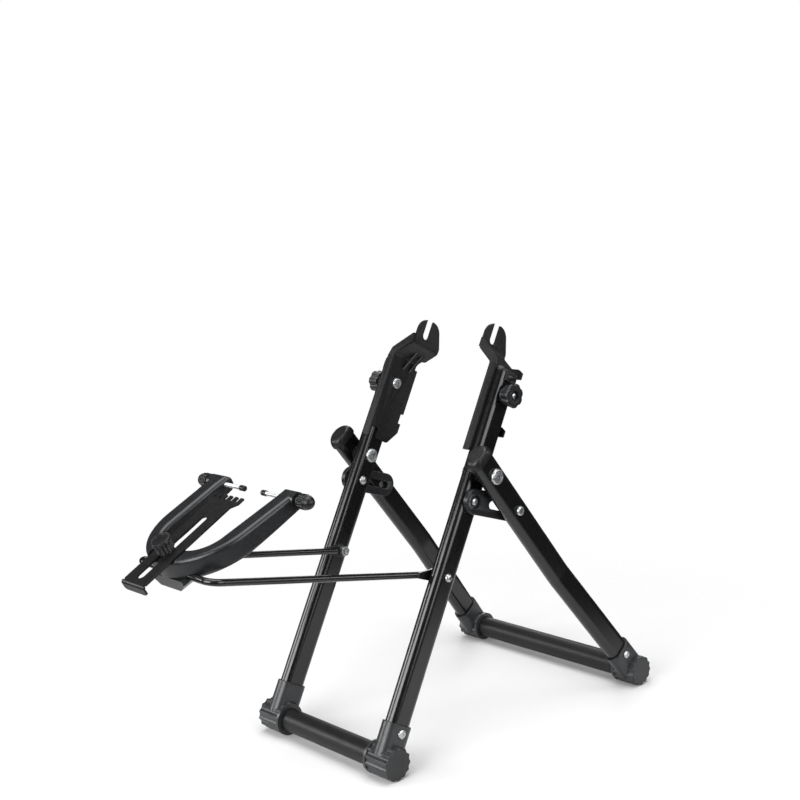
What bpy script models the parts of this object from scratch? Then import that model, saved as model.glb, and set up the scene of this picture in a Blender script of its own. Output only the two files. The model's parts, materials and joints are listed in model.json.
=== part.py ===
"""A folding wheel truing stand.

Two leaning uprights stand on the front bar, two rear legs fold against them, and a wire arm
carries a horseshoe yoke with a feeler screw on each side and a sliding comb gauge.
Metres, +Z up, +X to the right-hand upright, +Y to the rear feet. The origin is on the floor,
in the middle of the stand's length and width.
"""

import math

import bmesh
import bpy
from mathutils import Matrix, Vector

MM = 0.001
GAP = 0.3 * MM  # running clearance between touching pieces

# Steel tubes and bars
TUBE_WIDTH = 29 * MM
TUBE_DEPTH = 16 * MM
TUBE_WALL = 1.5 * MM
BAR_RADIUS = 12.5 * MM
BAR_WALL = 1.5 * MM
ARC_STEPS = 6  # facets of a tube's half-round edge
HOLE_STEPS = 10  # facets of a drilled hole
DOME_SWEEP = 72  # how far round a domed head's side runs from its crown, in degrees
PIT_RIM_DROP = 0.05 * MM  # how far a drilled crown's rim lies below the crown

# Front frame: heights run along an upright, from the front bar's axis
LEAN = math.radians(28.7)
UPRIGHT_X = 85.5 * MM
WIRE_HEIGHT = 192.1 * MM
FOLD_HEIGHT = 305 * MM
LINK_DROP = 30 * MM  # from the fold axis down to the stay links' screws
LINK_HEIGHT = FOLD_HEIGHT - LINK_DROP
NECK_ABOVE_FOLD = 119 * MM
NECK_HEIGHT = FOLD_HEIGHT + NECK_ABOVE_FOLD  # where the dropout plates turn inward
CAP_ROOM = 7.5 * MM  # from the uprights' tops up to the plates' necks
UPRIGHT_TOP = NECK_HEIGHT - CAP_ROOM
KNOB_DROP = 23.5 * MM  # from the uprights' tops down to the clamp bolts
KNOB_HEIGHT = UPRIGHT_TOP - KNOB_DROP
NECK_RISE = 16 * MM
FORK_HEIGHT = NECK_HEIGHT + NECK_RISE
HUB_RISE = 12.9 * MM  # from the forks' roots up to the hub's axis
HUB_HEIGHT = FORK_HEIGHT + HUB_RISE

# Rear legs: distances run down a leg from the fold axis
LEG_LENGTH = 337.7 * MM
LEG_TOP = 30.5 * MM
LEG_BEND = 165 * MM
LEG_BEND_RADIUS = 90 * MM
LEG_FOOT_X = 124.5 * MM
LEG_SCREW = 54.7 * MM

# Feet
FOOT_RADIUS = 17.2 * MM
FLUTES = 13
FLUTE_DEPTH = 1.6 * MM
FOOT_WEB = 1.9 * MM
FOOT_END_WALL = 3 * MM
COLLAR_LENGTH = 3.2 * MM
SLEEVE_WALL = 2.3 * MM
SLEEVE_TOP = 37.5 * MM
FOOT_INNER_REACH = 14.5 * MM
FRONT_FOOT_OUTER_REACH = 18.5 * MM
REAR_FOOT_OUTER_REACH = 15 * MM
RIVET_HEIGHT = 29 * MM
RIVET_RADIUS = 2 * MM
FRONT_RIVET_HEAD = 5 * MM
REAR_RIVET_HEAD = 4.5 * MM
RIVET_HEAD_HEIGHT = 2 * MM
RIVET_PIT = 1.3 * MM
GUSSET_TOP = 30 * MM
GUSSET_WIDTH = 16 * MM
GUSSET_EDGE = 2.5 * MM
GUSSET_BITE = 0.5 * MM
FOOT_EDGE = 0.8 * MM
SLEEVE_EDGE = 0.6 * MM

# Caps in the tubes' open tops
PLUG_LENGTH = 8 * MM
CAP_WALL = 1.4 * MM
CAP_DOME = 4 * MM
LEG_CAP_LIP = 8 * MM
EAR_LENGTH = 9.5 * MM
EAR_HALF_WIDTH = 8 * MM
EAR_THICKNESS = 2.5 * MM
EAR_BRIDGE = 2 * MM
EAR_ROUNDING = 1.2 * MM
EAR_TOP_ROUNDING = 2.3 * MM
CAP_DOME_ANGLES = (35, 65, 90)  # where the rings of a cap's crown lie, in degrees

# Fold pivots and stay links
PIVOT_RADIUS = 4 * MM
PIVOT_HEAD_RADIUS = 8.5 * MM
PIVOT_HEAD_HEIGHT = 3.6 * MM
PIVOT_INNER_HEAD = 8 * MM
SPACER_RADIUS = 9 * MM
LINK_THICKNESS = 6 * MM
LINK_RADIUS = 13.5 * MM
LINK_SLOT_WIDTH = 8.4 * MM
LINK_SLOT_START = 20.5 * MM
LINK_OVERRUN = 14 * MM
LINK_RECESS_RADIUS = 7 * MM
LINK_RECESS_DEPTH = 3.2 * MM
LINK_SCREW_RADIUS = 3 * MM
LINK_SCREW_HEAD = 4.5 * MM
LINK_INNER_HEAD = 5 * MM
LINK_SCREW_HEAD_HEIGHT = 2.5 * MM
LINK_SCREW_PIT = 1.5 * MM
LINK_SCREW_PIT_DEPTH = 1.2 * MM
LINK_EDGE = 0.8 * MM
LEG_SCREW_RADIUS = 3.5 * MM
LEG_SCREW_HEAD = 5.2 * MM
LEG_SCREW_HEAD_HEIGHT = 3.2 * MM
HEX_RADIUS = 1.8 * MM  # corner radius of the hexagon sockets
HEX_DEPTH = 2 * MM

# Dropout plates
SHEET = 2.5 * MM
PLATE_ABOVE_FOLD = 20 * MM
PLATE_BOTTOM = FOLD_HEIGHT + PLATE_ABOVE_FOLD
PLATE_REAR = 26 * MM
PLATE_CHAMFER = 16 * MM
CORNER_RISE = 12 * MM
CORNER_DEPTH = 13.3 * MM
FLANGE_DEPTH = 6.5 * MM
FORK_X = 52 * MM
FORK_RADIUS = 15 * MM
FORK_TOP = 18.5 * MM
SHEET_BEND = 5 * MM
AXLE_SLOT_WIDTH = 9.6 * MM
TAB_LENGTH = 12.5 * MM
TAB_WIDTH = 11.6 * MM
HIGH_TAB_DROP = 1 * MM
LOW_TAB_RISE = 32.5 * MM
TAB_HEIGHTS = (NECK_HEIGHT - HIGH_TAB_DROP, PLATE_BOTTOM + LOW_TAB_RISE)
TAB_NOTCH = 4 * MM
SHOULDER_RISE = 6 * MM  # from a fork's root up to where its rear edge starts to lean in
WEB_KNEE_RISE = 7 * MM
WEB_KNEE_INSET = 3 * MM
WEB_TOP_RISE = 10 * MM
WEB_TOP_DEPTH = 2.5 * MM
RIB_PLACES = (5 * MM, 15 * MM)
RIB_REACH = 12 * MM
RIB_RADIUS = 2 * MM
PLATE_CORNER = 3 * MM
NECK_CORNER = 4 * MM
FORK_ROOT_RADIUS = 8 * MM
CLAMP_BOLT_RADIUS = 3 * MM
CLAMP_BOLT_CHAMFER = 0.5 * MM
CLAMP_HEAD_RADIUS = 6.3 * MM
CLAMP_HEAD_HEIGHT = 3.2 * MM

# Star knobs
STAR_RADIUS = 13.2 * MM
STAR_LOBES = 7
STAR_LOBE_DEPTH = 1.8 * MM
STAR_THICKNESS = 11 * MM
STAR_TAPER = 1.8 * MM  # how much less the knob's radius is at its back
STAR_EDGE = 1.6 * MM
STAR_NECK_RADIUS = 8.5 * MM
STAR_NECK_LENGTH = 3.5 * MM
STAR_RECESS_RADIUS = 5.5 * MM
STAR_RECESS_DEPTH = 3 * MM

# Wire arm
WIRE_RADIUS = 3.5 * MM
WIRE_START = 9 * MM
WIRE_REACH = 273 * MM
WIRE_RISE = math.radians(11.8)
WIRE_FRONT_X = 61 * MM
WIRE_BEND_RADIUS = 13 * MM
EYE_THICKNESS = 3.3 * MM
EYE_RADIUS = 7.5 * MM
EYE_LENGTH = 26 * MM
EYE_INSET = 0.1 * MM
EYE_SWEEP = 110  # how far round an eyelet's head runs on each side, in degrees
EYE_ROOT = 2.9 * MM
WIRE_BOLT_TAIL = 1.5 * MM
WIRE_BOLT_RADIUS = 2.6 * MM
WIRE_BOLT_HEAD = 4.6 * MM
WIRE_BOLT_HEAD_HEIGHT = 3.4 * MM
NUT_FLATS = 10 * MM
NUT_HEIGHT = 6 * MM

# Yoke: reach runs from the wire's crosspiece toward the hub, height square to the yoke
YOKE_TILT = math.radians(23.5)
YOKE_TOP = 20.1 * MM
YOKE_DEPTH = 18.5 * MM
YOKE_END_DEPTH = 16 * MM
YOKE_INNER_X = 46.5 * MM
YOKE_OUTER_X = 68 * MM
YOKE_INNER_BACK = 13.5 * MM
YOKE_OUTER_BACK = -9.5 * MM
YOKE_CORNER_RADIUS = 28 * MM
YOKE_REACH = 122 * MM
YOKE_TAPER_START = 30 * MM
YOKE_EDGE = 3.5 * MM
CHANNEL_HALF_WIDTH = 22 * MM
CLAMP_HALF_WIDTH = 18 * MM
CLAMP_TOP_HALF_WIDTH = 29 * MM
CLAMP_DEPTH = 16.5 * MM
CLAMP_BACK = -9.3 * MM
CLAMP_FRONT = 12 * MM
CLAMP_BITE = 3 * MM
CLAMP_SHOULDER = 2 * MM
CLAMP_ROUNDING = 3 * MM

# Feeler screws
FEELER_REACH = 113.5 * MM
FEELER_DROP = 7 * MM
FEELER_RADIUS = 2.2 * MM
FEELER_TIP_X = 14 * MM
FEELER_TIP_LENGTH = 7 * MM
FEELER_TIP_RADIUS = 2.9 * MM
FEELER_TIP_NOSE = 2 * MM
FEELER_TIP_CHAMFER = 1 * MM
FEELER_BOSS_RADIUS = 8 * MM
FEELER_BOSS_HEIGHT = 2 * MM
CAP_RADIUS = 7.6 * MM
CAP_INNER_X = 74 * MM
CAP_LENGTH = 17 * MM
CAP_RIBS = 16
CAP_RIB_DEPTH = 0.7 * MM
CAP_DOME_LENGTH = 7.5 * MM

# Comb gauge and its thumb screw
GAUGE_SLOPE = math.radians(4.3)
GAUGE_HEIGHT = 17.7 * MM
GAUGE_THICKNESS = 2 * MM
GAUGE_HALF_WIDTH = 18 * MM
GAUGE_BACK = 42 * MM
GAUGE_FRONT = 87.5 * MM
GAUGE_BEND = 2 * MM
GAUGE_TAB = 8 * MM
GAUGE_TAB_HALF_WIDTH = 18.8 * MM
GAUGE_TAB_ROUNDING = 5 * MM
RELIEF = 1.5 * MM
COMB_FLARE = 73 * MM
COMB_SHOULDER = 2 * MM
COMB_HALF_WIDTH = 24 * MM
COMB_TEETH = 6
COMB_TOOTH_LENGTH = 8.5 * MM
GAUGE_SLOT_WIDTH = 7 * MM
GAUGE_SLOT_BACK = 33 * MM
GAUGE_SLOT_FRONT = 55.5 * MM
THUMB_REACH = 4.5 * MM
THUMB_RADIUS = 10 * MM
THUMB_SKIRT_RADIUS = 8.6 * MM
THUMB_HEIGHT = 16.5 * MM
THUMB_DISC = 5 * MM
THUMB_COLLAR = 2.5 * MM
THUMB_COLLAR_RADIUS = 7.5 * MM
THUMB_RIB_DEPTH = 0.7 * MM
THUMB_RIBS = 16
THUMB_STUD_RADIUS = 2.6 * MM
THUMB_STUD_DEPTH = 11 * MM

# Finishes: colour, metallic, roughness
POWDER_COAT = ((0.012, 0.012, 0.013), 0.0, 0.32)
BLACK_WIRE = ((0.014, 0.014, 0.015), 0.0, 0.4)
BLACK_SHEET = ((0.022, 0.022, 0.024), 0.0, 0.5)
MOULDED = ((0.035, 0.036, 0.038), 0.0, 0.58)
MOULDED_DARK = ((0.02, 0.02, 0.022), 0.0, 0.5)
ZINC = ((0.62, 0.63, 0.65), 1.0, 0.3)

# Places worked out from the sizes above
UPRIGHT_INNER = UPRIGHT_X - TUBE_DEPTH / 2
UPRIGHT_OUTER = UPRIGHT_X + TUBE_DEPTH / 2
LINK_INNER = UPRIGHT_OUTER + GAP
LINK_OUTER = LINK_INNER + LINK_THICKNESS
LEG_INNER = LINK_OUTER + GAP
LEG_X = LEG_INNER + TUBE_DEPTH / 2
LEG_OUTER = LEG_INNER + TUBE_DEPTH
SOCKET_FLOOR = BAR_RADIUS + GAP + FOOT_WEB
FOLD_RISE = FOLD_HEIGHT * math.cos(LEAN)
LEG_SLOPE = math.acos(FOLD_RISE / LEG_LENGTH)
SPLAY = math.atan2(LEG_FOOT_X - LEG_X, LEG_LENGTH - LEG_BEND)
REAR_BAR_Y = FOLD_HEIGHT * math.sin(LEAN) + LEG_LENGTH * math.sin(LEG_SLOPE)
WIRE_X = UPRIGHT_INNER - GAP - WIRE_RADIUS - EYE_INSET
KNOB_SEAT = UPRIGHT_OUTER + GAP
BAR_Z = FOOT_RADIUS

# The front bar's place, which centres the stand between the gauge's tab and the rear feet
GAUGE_TILT = YOKE_TILT + GAUGE_SLOPE
TAB_BEND = GAUGE_BEND + GAUGE_THICKNESS / 2
TAB_REACH = (
    (GAUGE_BACK - TAB_BEND) * math.cos(GAUGE_TILT)
    - (TAB_BEND - GAUGE_THICKNESS) * math.sin(GAUGE_TILT)
    + TAB_BEND
)
FOREMOST = (
    WIRE_HEIGHT * math.sin(LEAN)
    - WIRE_REACH * math.cos(WIRE_RISE)
    - GAUGE_HEIGHT * math.sin(YOKE_TILT)
    - TAB_REACH
)
FRONT_Y = -(FOREMOST + REAR_BAR_Y + FOOT_RADIUS) / 2


def clear_scene():
    for thing in list(bpy.data.objects):
        bpy.data.objects.remove(thing, do_unlink=True)


def new_collection(name, hidden=False):
    collection = bpy.data.collections.new(name)
    bpy.context.scene.collection.children.link(collection)
    collection.hide_render = hidden
    return collection


def empty(name, location, tilt, parent=None):
    """An axis to hang pieces on: local X stays the stand's X, and tilt turns it about X."""
    axis = bpy.data.objects.new(name, None)
    axis.empty_display_size = 0.02
    PARTS.objects.link(axis)
    axis.parent = parent
    axis.location = location
    axis.rotation_euler = (tilt, 0, 0)
    return axis


def dress(thing, look):
    """Gives the piece its own material."""
    colour, metallic, roughness = look
    material = bpy.data.materials.new(thing.name + "_finish")
    material.use_nodes = True
    shader = material.node_tree.nodes["Principled BSDF"]
    shader.inputs["Base Color"].default_value = (*colour, 1)
    shader.inputs["Metallic"].default_value = metallic
    shader.inputs["Roughness"].default_value = roughness
    material.diffuse_color = (*colour, 1)
    thing.data.materials.clear()
    thing.data.materials.append(material)


def arc(centre, radius, start, end, steps):
    """Points on an arc, both ends included; angles in degrees."""
    points = []
    for step in range(steps + 1):
        angle = math.radians(start + (end - start) * step / steps)
        points.append((centre[0] + radius * math.cos(angle), centre[1] + radius * math.sin(angle)))
    return points


def circle(radius, steps, centre=(0, 0)):
    return arc(centre, radius, 0, 360, steps)[:-1]


def stadium(depth, width, centre=(0, 0)):
    """A flat oval, width across its long way (second coordinate)."""
    radius = depth / 2
    reach = width / 2 - radius
    high = arc((centre[0], centre[1] + reach), radius, 0, 180, ARC_STEPS)
    low = arc((centre[0], centre[1] - reach), radius, 180, 360, ARC_STEPS)
    return high + low


def capsule(start, end, radius, steps=8):
    """A round-ended bar between two points of the plane."""
    way = math.degrees(math.atan2(end[1] - start[1], end[0] - start[0]))
    return arc(end, radius, way - 90, way + 90, steps) + arc(start, radius, way + 90, way + 270, steps)


def rounded(corners, steps=4):
    """A polygon or path whose corners (a, b, radius) are rounded; radius 0 keeps one sharp."""
    points = []
    for index, (a, b, radius) in enumerate(corners):
        if radius == 0:
            points.append((a, b))
            continue
        here = Vector((a, b))
        before = (Vector(corners[index - 1][:2]) - here).normalized()
        after = (Vector(corners[(index + 1) % len(corners)][:2]) - here).normalized()
        half = before.angle(after) / 2
        centre = here + (before + after).normalized() * radius / math.sin(half)
        first = here + before * radius / math.tan(half) - centre
        last = here + after * radius / math.tan(half) - centre
        sweep = first.angle_signed(last)
        for step in range(steps + 1):
            turned_by = Matrix.Rotation(-sweep * step / steps, 2)
            points.append(tuple(centre + turned_by @ first))
    return points


def thickened(path, thickness):
    """The outline of a strip of sheet bent along an open path."""
    points = [Vector(point) for point in path]
    left, right = [], []
    for index, point in enumerate(points):
        before = (point - points[max(index - 1, 0)]).normalized()
        after = (points[min(index + 1, len(points) - 1)] - point).normalized()
        way = (before + after).normalized()
        across = Vector((-way.y, way.x)) * thickness / 2
        mitre = max(way.dot(after), way.dot(before))
        left.append(tuple(point + across / mitre))
        right.append(tuple(point - across / mitre))
    return left + right[::-1]


def wavy(radius, depth, waves, per_wave, start=0.0):
    """A round outline whose crests reach radius and whose hollows lie depth below it."""
    points = []
    for step in range(waves * per_wave):
        angle = 2 * math.pi * step / (waves * per_wave)
        reach = radius - depth * (0.5 - 0.5 * math.cos(waves * angle))
        points.append((reach * math.cos(angle + start), reach * math.sin(angle + start)))
    return points


ALONG_X = Matrix(((0, 0, 1, 0), (1, 0, 0, 0), (0, 1, 0, 0), (0, 0, 0, 1)))
ALONG_Y = Matrix(((1, 0, 0, 0), (0, 0, -1, 0), (0, 1, 0, 0), (0, 0, 0, 1)))
ALONG_Z = Matrix.Identity(4)


def weld(mesh):
    shape = bmesh.new()
    shape.from_mesh(mesh)
    bmesh.ops.remove_doubles(shape, verts=shape.verts, dist=0.005 * MM)
    bmesh.ops.recalc_face_normals(shape, faces=shape.faces)
    shape.to_mesh(mesh)
    shape.free()


def soften(mesh, angle=30):
    mesh.shade_smooth()
    mesh.set_sharp_from_angle(angle=math.radians(angle))


def evaluated_mesh(thing):
    bpy.context.view_layer.update()
    graph = bpy.context.evaluated_depsgraph_get()
    return bpy.data.meshes.new_from_object(thing.evaluated_get(graph))


def curve_to_mesh(curve, name):
    holder = bpy.data.objects.new(name, curve)
    bpy.context.scene.collection.objects.link(holder)
    mesh = evaluated_mesh(holder)
    bpy.data.objects.remove(holder)
    bpy.data.curves.remove(curve)
    mesh.name = name
    weld(mesh)
    return mesh


def prism(name, outlines, low, high, way=ALONG_Z, edge=0.0, edge_steps=0):
    """A flat outline, with any holes in it, made thick from low to high.

    The thickness runs along Z over an outline in XY, along X over an outline in YZ, or
    backward along Y over an outline in XZ. An edge breaks both rims by that size, as a
    chamfer or, with some edge_steps, as a round.
    """
    curve = bpy.data.curves.new(name, "CURVE")
    curve.dimensions = "2D"
    curve.fill_mode = "BOTH"
    curve.extrude = (high - low) / 2 - edge
    curve.bevel_depth = edge
    curve.bevel_resolution = edge_steps
    curve.offset = -edge
    for outline in outlines:
        spline = curve.splines.new("POLY")
        spline.points.add(len(outline) - 1)
        for point, (a, b) in zip(spline.points, outline):
            point.co = (a, b, 0, 1)
        spline.use_cyclic_u = True
    mesh = curve_to_mesh(curve, name)
    mesh.transform(way @ Matrix.Translation((0, 0, (low + high) / 2)))
    soften(mesh)
    return mesh


def loft(name, rings, hollow=False):
    """A skin through rings of equal count; hollow joins the last ring to the first."""
    shape = bmesh.new()
    rows = [[shape.verts.new(point) for point in ring] for ring in rings]
    count = len(rings[0])
    pairs = list(zip(rows, rows[1:]))
    if hollow:
        pairs.append((rows[-1], rows[0]))
    for row, following in pairs:
        for index in range(count):
            after = (index + 1) % count
            shape.faces.new((row[index], row[after], following[after], following[index]))
    if not hollow:
        shape.faces.new(reversed(rows[0]))
        shape.faces.new(rows[-1])
    bmesh.ops.recalc_face_normals(shape, faces=shape.faces)
    mesh = bpy.data.meshes.new(name)
    shape.to_mesh(mesh)
    shape.free()
    soften(mesh)
    return mesh


def ring(outline, height):
    return [Vector((a, b, height)) for a, b in outline]


def rod(radius, low, high, steps=20, way=ALONG_X, centre=(0, 0)):
    """A plain round bar along X, or along another way."""
    shape = bmesh.new()
    bmesh.ops.create_cone(
        shape, cap_ends=True, segments=steps, radius1=radius, radius2=radius, depth=high - low
    )
    mesh = bpy.data.meshes.new("rod")
    shape.to_mesh(mesh)
    shape.free()
    mesh.transform(way @ Matrix.Translation((centre[0], centre[1], (low + high) / 2)))
    soften(mesh)
    return mesh


def bar_between(start, end, radius, steps=8):
    """A plain round bar from one point to another."""
    way = Vector(end) - Vector(start)
    mesh = rod(radius, 0, way.length, steps, ALONG_Z)
    mesh.transform(Matrix.Translation(start) @ way.to_track_quat("Z", "Y").to_matrix().to_4x4())
    return mesh


def box(low, high):
    shape = bmesh.new()
    bmesh.ops.create_cube(shape, size=1)
    mesh = bpy.data.meshes.new("box")
    shape.to_mesh(mesh)
    shape.free()
    size = [b - a for a, b in zip(low, high)]
    middle = [(a + b) / 2 for a, b in zip(low, high)]
    mesh.transform(Matrix.Translation(middle) @ Matrix.Diagonal((*size, 1)))
    return mesh


def together(meshes):
    """One mesh that holds several separate bodies, for use as a single cutter."""
    shape = bmesh.new()
    for mesh in meshes:
        shape.from_mesh(mesh)
    joined = bpy.data.meshes.new("together")
    shape.to_mesh(joined)
    shape.free()
    return joined


def moved(mesh, y=0.0, z=0.0):
    mesh.transform(Matrix.Translation((0, y, z)))
    return mesh


def splayed(mesh, x, angle):
    """Leans a mesh about the point x of the bar, its top toward the stand's middle."""
    pivot = Matrix.Translation((x, 0, 0))
    mesh.transform(pivot @ Matrix.Rotation(-angle, 4, "Y") @ pivot.inverted())
    return mesh


def turned(name, profile, steps=14, way=ALONG_X):
    """A turned piece. The profile holds (distance along the axis, radius), far end first."""
    mesh = bpy.data.meshes.new(name)
    points = [(radius, 0, along) for along, radius in profile]
    mesh.from_pydata(points, [(i, i + 1) for i in range(len(points) - 1)], [])
    thing = bpy.data.objects.new(name, mesh)
    bpy.context.scene.collection.objects.link(thing)
    screw = thing.modifiers.new("turn", "SCREW")
    screw.axis = "Z"
    screw.steps = steps
    screw.render_steps = steps
    screw.use_merge_vertices = True
    screw.merge_threshold = 0.00001
    result = evaluated_mesh(thing)
    bpy.data.objects.remove(thing)
    bpy.data.meshes.remove(mesh)
    result.name = name
    result.transform(way)
    weld(result)
    soften(result)
    return result


def dome(seat, radius, height, steps=3):
    """A domed head that stands on seat, as a profile from its crown to its rim."""
    points = []
    for step in range(steps + 1):
        angle = math.radians(90 - DOME_SWEEP * step / steps)
        points.append((seat + height * math.sin(angle), radius * math.cos(angle)))
    points[0] = (points[0][0], 0.0)
    return points + [(seat, radius)]


def pitted(profile, radius, depth):
    """Drills the crown of a domed profile."""
    crown = profile[0][0]
    rest = [point for point in profile if point[1] > radius]
    return [(crown - depth, 0.0), (crown - depth, radius), (crown - PIT_RIM_DROP, radius)] + rest


def facing_inward(profile, seat):
    """The same head on the inner side of what it holds, from its rim to its crown."""
    return [(2 * seat - along, radius) for along, radius in reversed(profile)]


def boolean(thing, mesh, operation, axis=None):
    """Cuts, joins or intersects the piece with a mesh given in its own or another axis."""
    name = f"{thing.name}_{operation.lower()}_{len(thing.modifiers)}"
    tool = bpy.data.objects.new(name, mesh)
    CUTTERS.objects.link(tool)
    tool.parent = axis or thing.parent
    tool.hide_render = True
    tool.display_type = "WIRE"
    modifier = thing.modifiers.new(name, "BOOLEAN")
    modifier.operation = operation
    modifier.object = tool
    modifier.solver = "EXACT"


def cut(thing, mesh, axis=None):
    boolean(thing, mesh, "DIFFERENCE", axis)


def join(thing, mesh, axis=None):
    boolean(thing, mesh, "UNION", axis)


def keep_inside(thing, mesh):
    boolean(thing, mesh, "INTERSECT")


def hex_socket(thing, crown, height):
    """Sinks a hexagon socket into the crown of a screw head."""
    cut(thing, rod(HEX_RADIUS, crown - HEX_DEPTH, crown + HEX_DEPTH, 6, centre=(0, height)))


def piece(name, mesh, axis, look):
    thing = bpy.data.objects.new(name, mesh)
    PARTS.objects.link(thing)
    thing.parent = axis
    dress(thing, look)
    return thing


def pair(name, mesh, axis, look, shape=None):
    """The right-hand piece, worked on by an optional function, and its mirror image."""
    right = piece("right_" + name, mesh, axis, look)
    if shape:
        shape(right)
    mirrored = evaluated_mesh(right)
    mirrored.transform(Matrix.Scale(-1, 4, (1, 0, 0)))
    mirrored.flip_normals()
    return right, piece("left_" + name, mirrored, axis, look)


def oval_outlines(x):
    outer = stadium(TUBE_DEPTH, TUBE_WIDTH, (x, 0))
    inner = stadium(TUBE_DEPTH - 2 * TUBE_WALL, TUBE_WIDTH - 2 * TUBE_WALL, (x, 0))
    return outer, inner


def grown_oval(x, growth):
    return stadium(TUBE_DEPTH + 2 * growth, TUBE_WIDTH + 2 * growth, (x, 0))


def end_cap(name, x, seat, lip=0.0):
    """A domed plug for the open top of a flat-oval tube, with an optional lip down its sides."""
    plug = grown_oval(x, -TUBE_WALL - GAP)
    outer = grown_oval(x, GAP + CAP_WALL if lip else 0)
    rings = [ring(plug, seat - PLUG_LENGTH), ring(plug, seat + GAP)]
    if lip:
        rings.append(ring(grown_oval(x, GAP), seat + GAP))
        rings.append(ring(grown_oval(x, GAP), seat - lip))
        rings.append(ring(outer, seat - lip))
    else:
        rings.append(ring(outer, seat + GAP))
    rings.append(ring(outer, seat + GAP + CAP_WALL))
    reach = GAP + CAP_WALL if lip else 0
    for angle in CAP_DOME_ANGLES:
        inset = CAP_DOME * (1 - math.cos(math.radians(angle)))
        rise = CAP_DOME * math.sin(math.radians(angle))
        rings.append(ring(grown_oval(x, reach - inset), seat + GAP + CAP_WALL + rise))
    return loft(name, rings)


def make_uprights():
    outer, inner = oval_outlines(UPRIGHT_X)
    low = SOCKET_FLOOR + GAP
    rings = [ring(outer, low), ring(outer, UPRIGHT_TOP), ring(inner, UPRIGHT_TOP), ring(inner, low)]
    holes = [
        (KNOB_HEIGHT, CLAMP_BOLT_RADIUS),
        (FOLD_HEIGHT, PIVOT_RADIUS),
        (LINK_HEIGHT, LINK_SCREW_RADIUS),
        (WIRE_HEIGHT, WIRE_BOLT_RADIUS),
    ]

    def drill(upright):
        start = UPRIGHT_INNER - TUBE_WALL
        end = UPRIGHT_OUTER + TUBE_WALL
        drills = [rod(radius + GAP, start, end, HOLE_STEPS, centre=(0, height)) for height, radius in holes]
        drills.append(rod(RIVET_RADIUS + GAP, UPRIGHT_X, end, HOLE_STEPS, centre=(0, RIVET_HEIGHT)))
        cut(upright, together(drills))

    pair("upright", loft("upright", rings, hollow=True), FRAME_AXIS, POWDER_COAT, drill)

    face = UPRIGHT_OUTER + GAP
    bridge_low = UPRIGHT_TOP + 2 * GAP
    bridge_high = UPRIGHT_TOP + GAP + CAP_WALL
    ear = rounded(
        [
            (UPRIGHT_OUTER - EAR_BRIDGE, bridge_low, 0),
            (face, bridge_low, 0),
            (face, UPRIGHT_TOP - EAR_LENGTH, 0),
            (face + EAR_THICKNESS, UPRIGHT_TOP - EAR_LENGTH, EAR_ROUNDING),
            (face + EAR_THICKNESS, bridge_high, EAR_TOP_ROUNDING),
            (UPRIGHT_OUTER - EAR_BRIDGE, bridge_high, 0),
        ]
    )

    def add_ear(cap):
        join(cap, prism("ear", [ear], -EAR_HALF_WIDTH, EAR_HALF_WIDTH, ALONG_Y))

    cap = end_cap("upright_cap", UPRIGHT_X, UPRIGHT_TOP)
    pair("upright_cap", cap, FRAME_AXIS, MOULDED_DARK, add_ear)


def make_bar(name, half_length, axis):
    outlines = [circle(BAR_RADIUS, 20), circle(BAR_RADIUS - BAR_WALL, 20)]
    piece(name, prism(name, outlines, -half_length, half_length, ALONG_X), axis, BLACK_WIRE)


def make_foot(name, x, outer_reach, tilt, splay, rivet_head, axis):
    """A moulded foot: a fluted barrel round the bar's end and a socket sleeve round the tube."""
    inner = x - FOOT_INNER_REACH
    outer = x + outer_reach
    straight_down = math.atan2(-math.cos(tilt), -math.sin(tilt))
    flutes = wavy(FOOT_RADIUS, FLUTE_DEPTH, FLUTES, 3, straight_down)
    barrel = prism(name, [flutes], inner, outer, ALONG_X, edge=FOOT_EDGE)
    fit = GAP + SLEEVE_WALL

    def shape(foot):
        join(foot, rod(FOOT_RADIUS, inner - COLLAR_LENGTH / 2, inner + COLLAR_LENGTH / 2, 24))
        sleeve = prism("sleeve", [grown_oval(x, fit)], FOOT_RADIUS / 2, SLEEVE_TOP, edge=SLEEVE_EDGE)
        join(foot, splayed(sleeve, x, splay))
        web_foot = inner - COLLAR_LENGTH / 2 + GUSSET_BITE
        web = [
            (web_foot, BAR_RADIUS / 2),
            (web_foot, FOOT_RADIUS),
            (x - TUBE_DEPTH / 2, GUSSET_TOP),
            (x, BAR_RADIUS / 2),
        ]
        half_width = GUSSET_WIDTH / 2
        join(foot, prism("gusset", [web], -half_width, half_width, ALONG_Y, GUSSET_EDGE, 1))
        cut(foot, rod(BAR_RADIUS + GAP, inner - FOOT_RADIUS, outer - FOOT_END_WALL, 20))
        socket = prism("socket", [grown_oval(x, GAP)], SOCKET_FLOOR, 2 * SLEEVE_TOP)
        cut(foot, splayed(socket, x, splay))
        hole = rod(RIVET_RADIUS + GAP, x, x + TUBE_DEPTH, HOLE_STEPS, centre=(0, RIVET_HEIGHT))
        cut(foot, splayed(hole, x, splay))

    pair(name, barrel, axis, MOULDED, shape)
    seat = x + TUBE_DEPTH / 2 + fit + GAP
    head = pitted(dome(seat, rivet_head, RIVET_HEAD_HEIGHT, 2), RIVET_PIT, RIVET_HEAD_HEIGHT / 2)
    stem_end = x + TUBE_DEPTH / 2 - 2 * TUBE_WALL
    profile = head + [(seat, RIVET_RADIUS), (stem_end, RIVET_RADIUS), (stem_end, 0)]
    rivet = moved(turned(name + "_rivet", profile, HOLE_STEPS), z=RIVET_HEIGHT)
    pair(name + "_rivet", splayed(rivet, x, splay), axis, ZINC)


def make_front_frame():
    make_uprights()
    make_bar("front_bar", UPRIGHT_X + FRONT_FOOT_OUTER_REACH - FOOT_END_WALL - GAP, FRAME_AXIS)
    make_foot("front_foot", UPRIGHT_X, FRONT_FOOT_OUTER_REACH, -LEAN, 0, FRONT_RIVET_HEAD, FRAME_AXIS)


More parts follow.
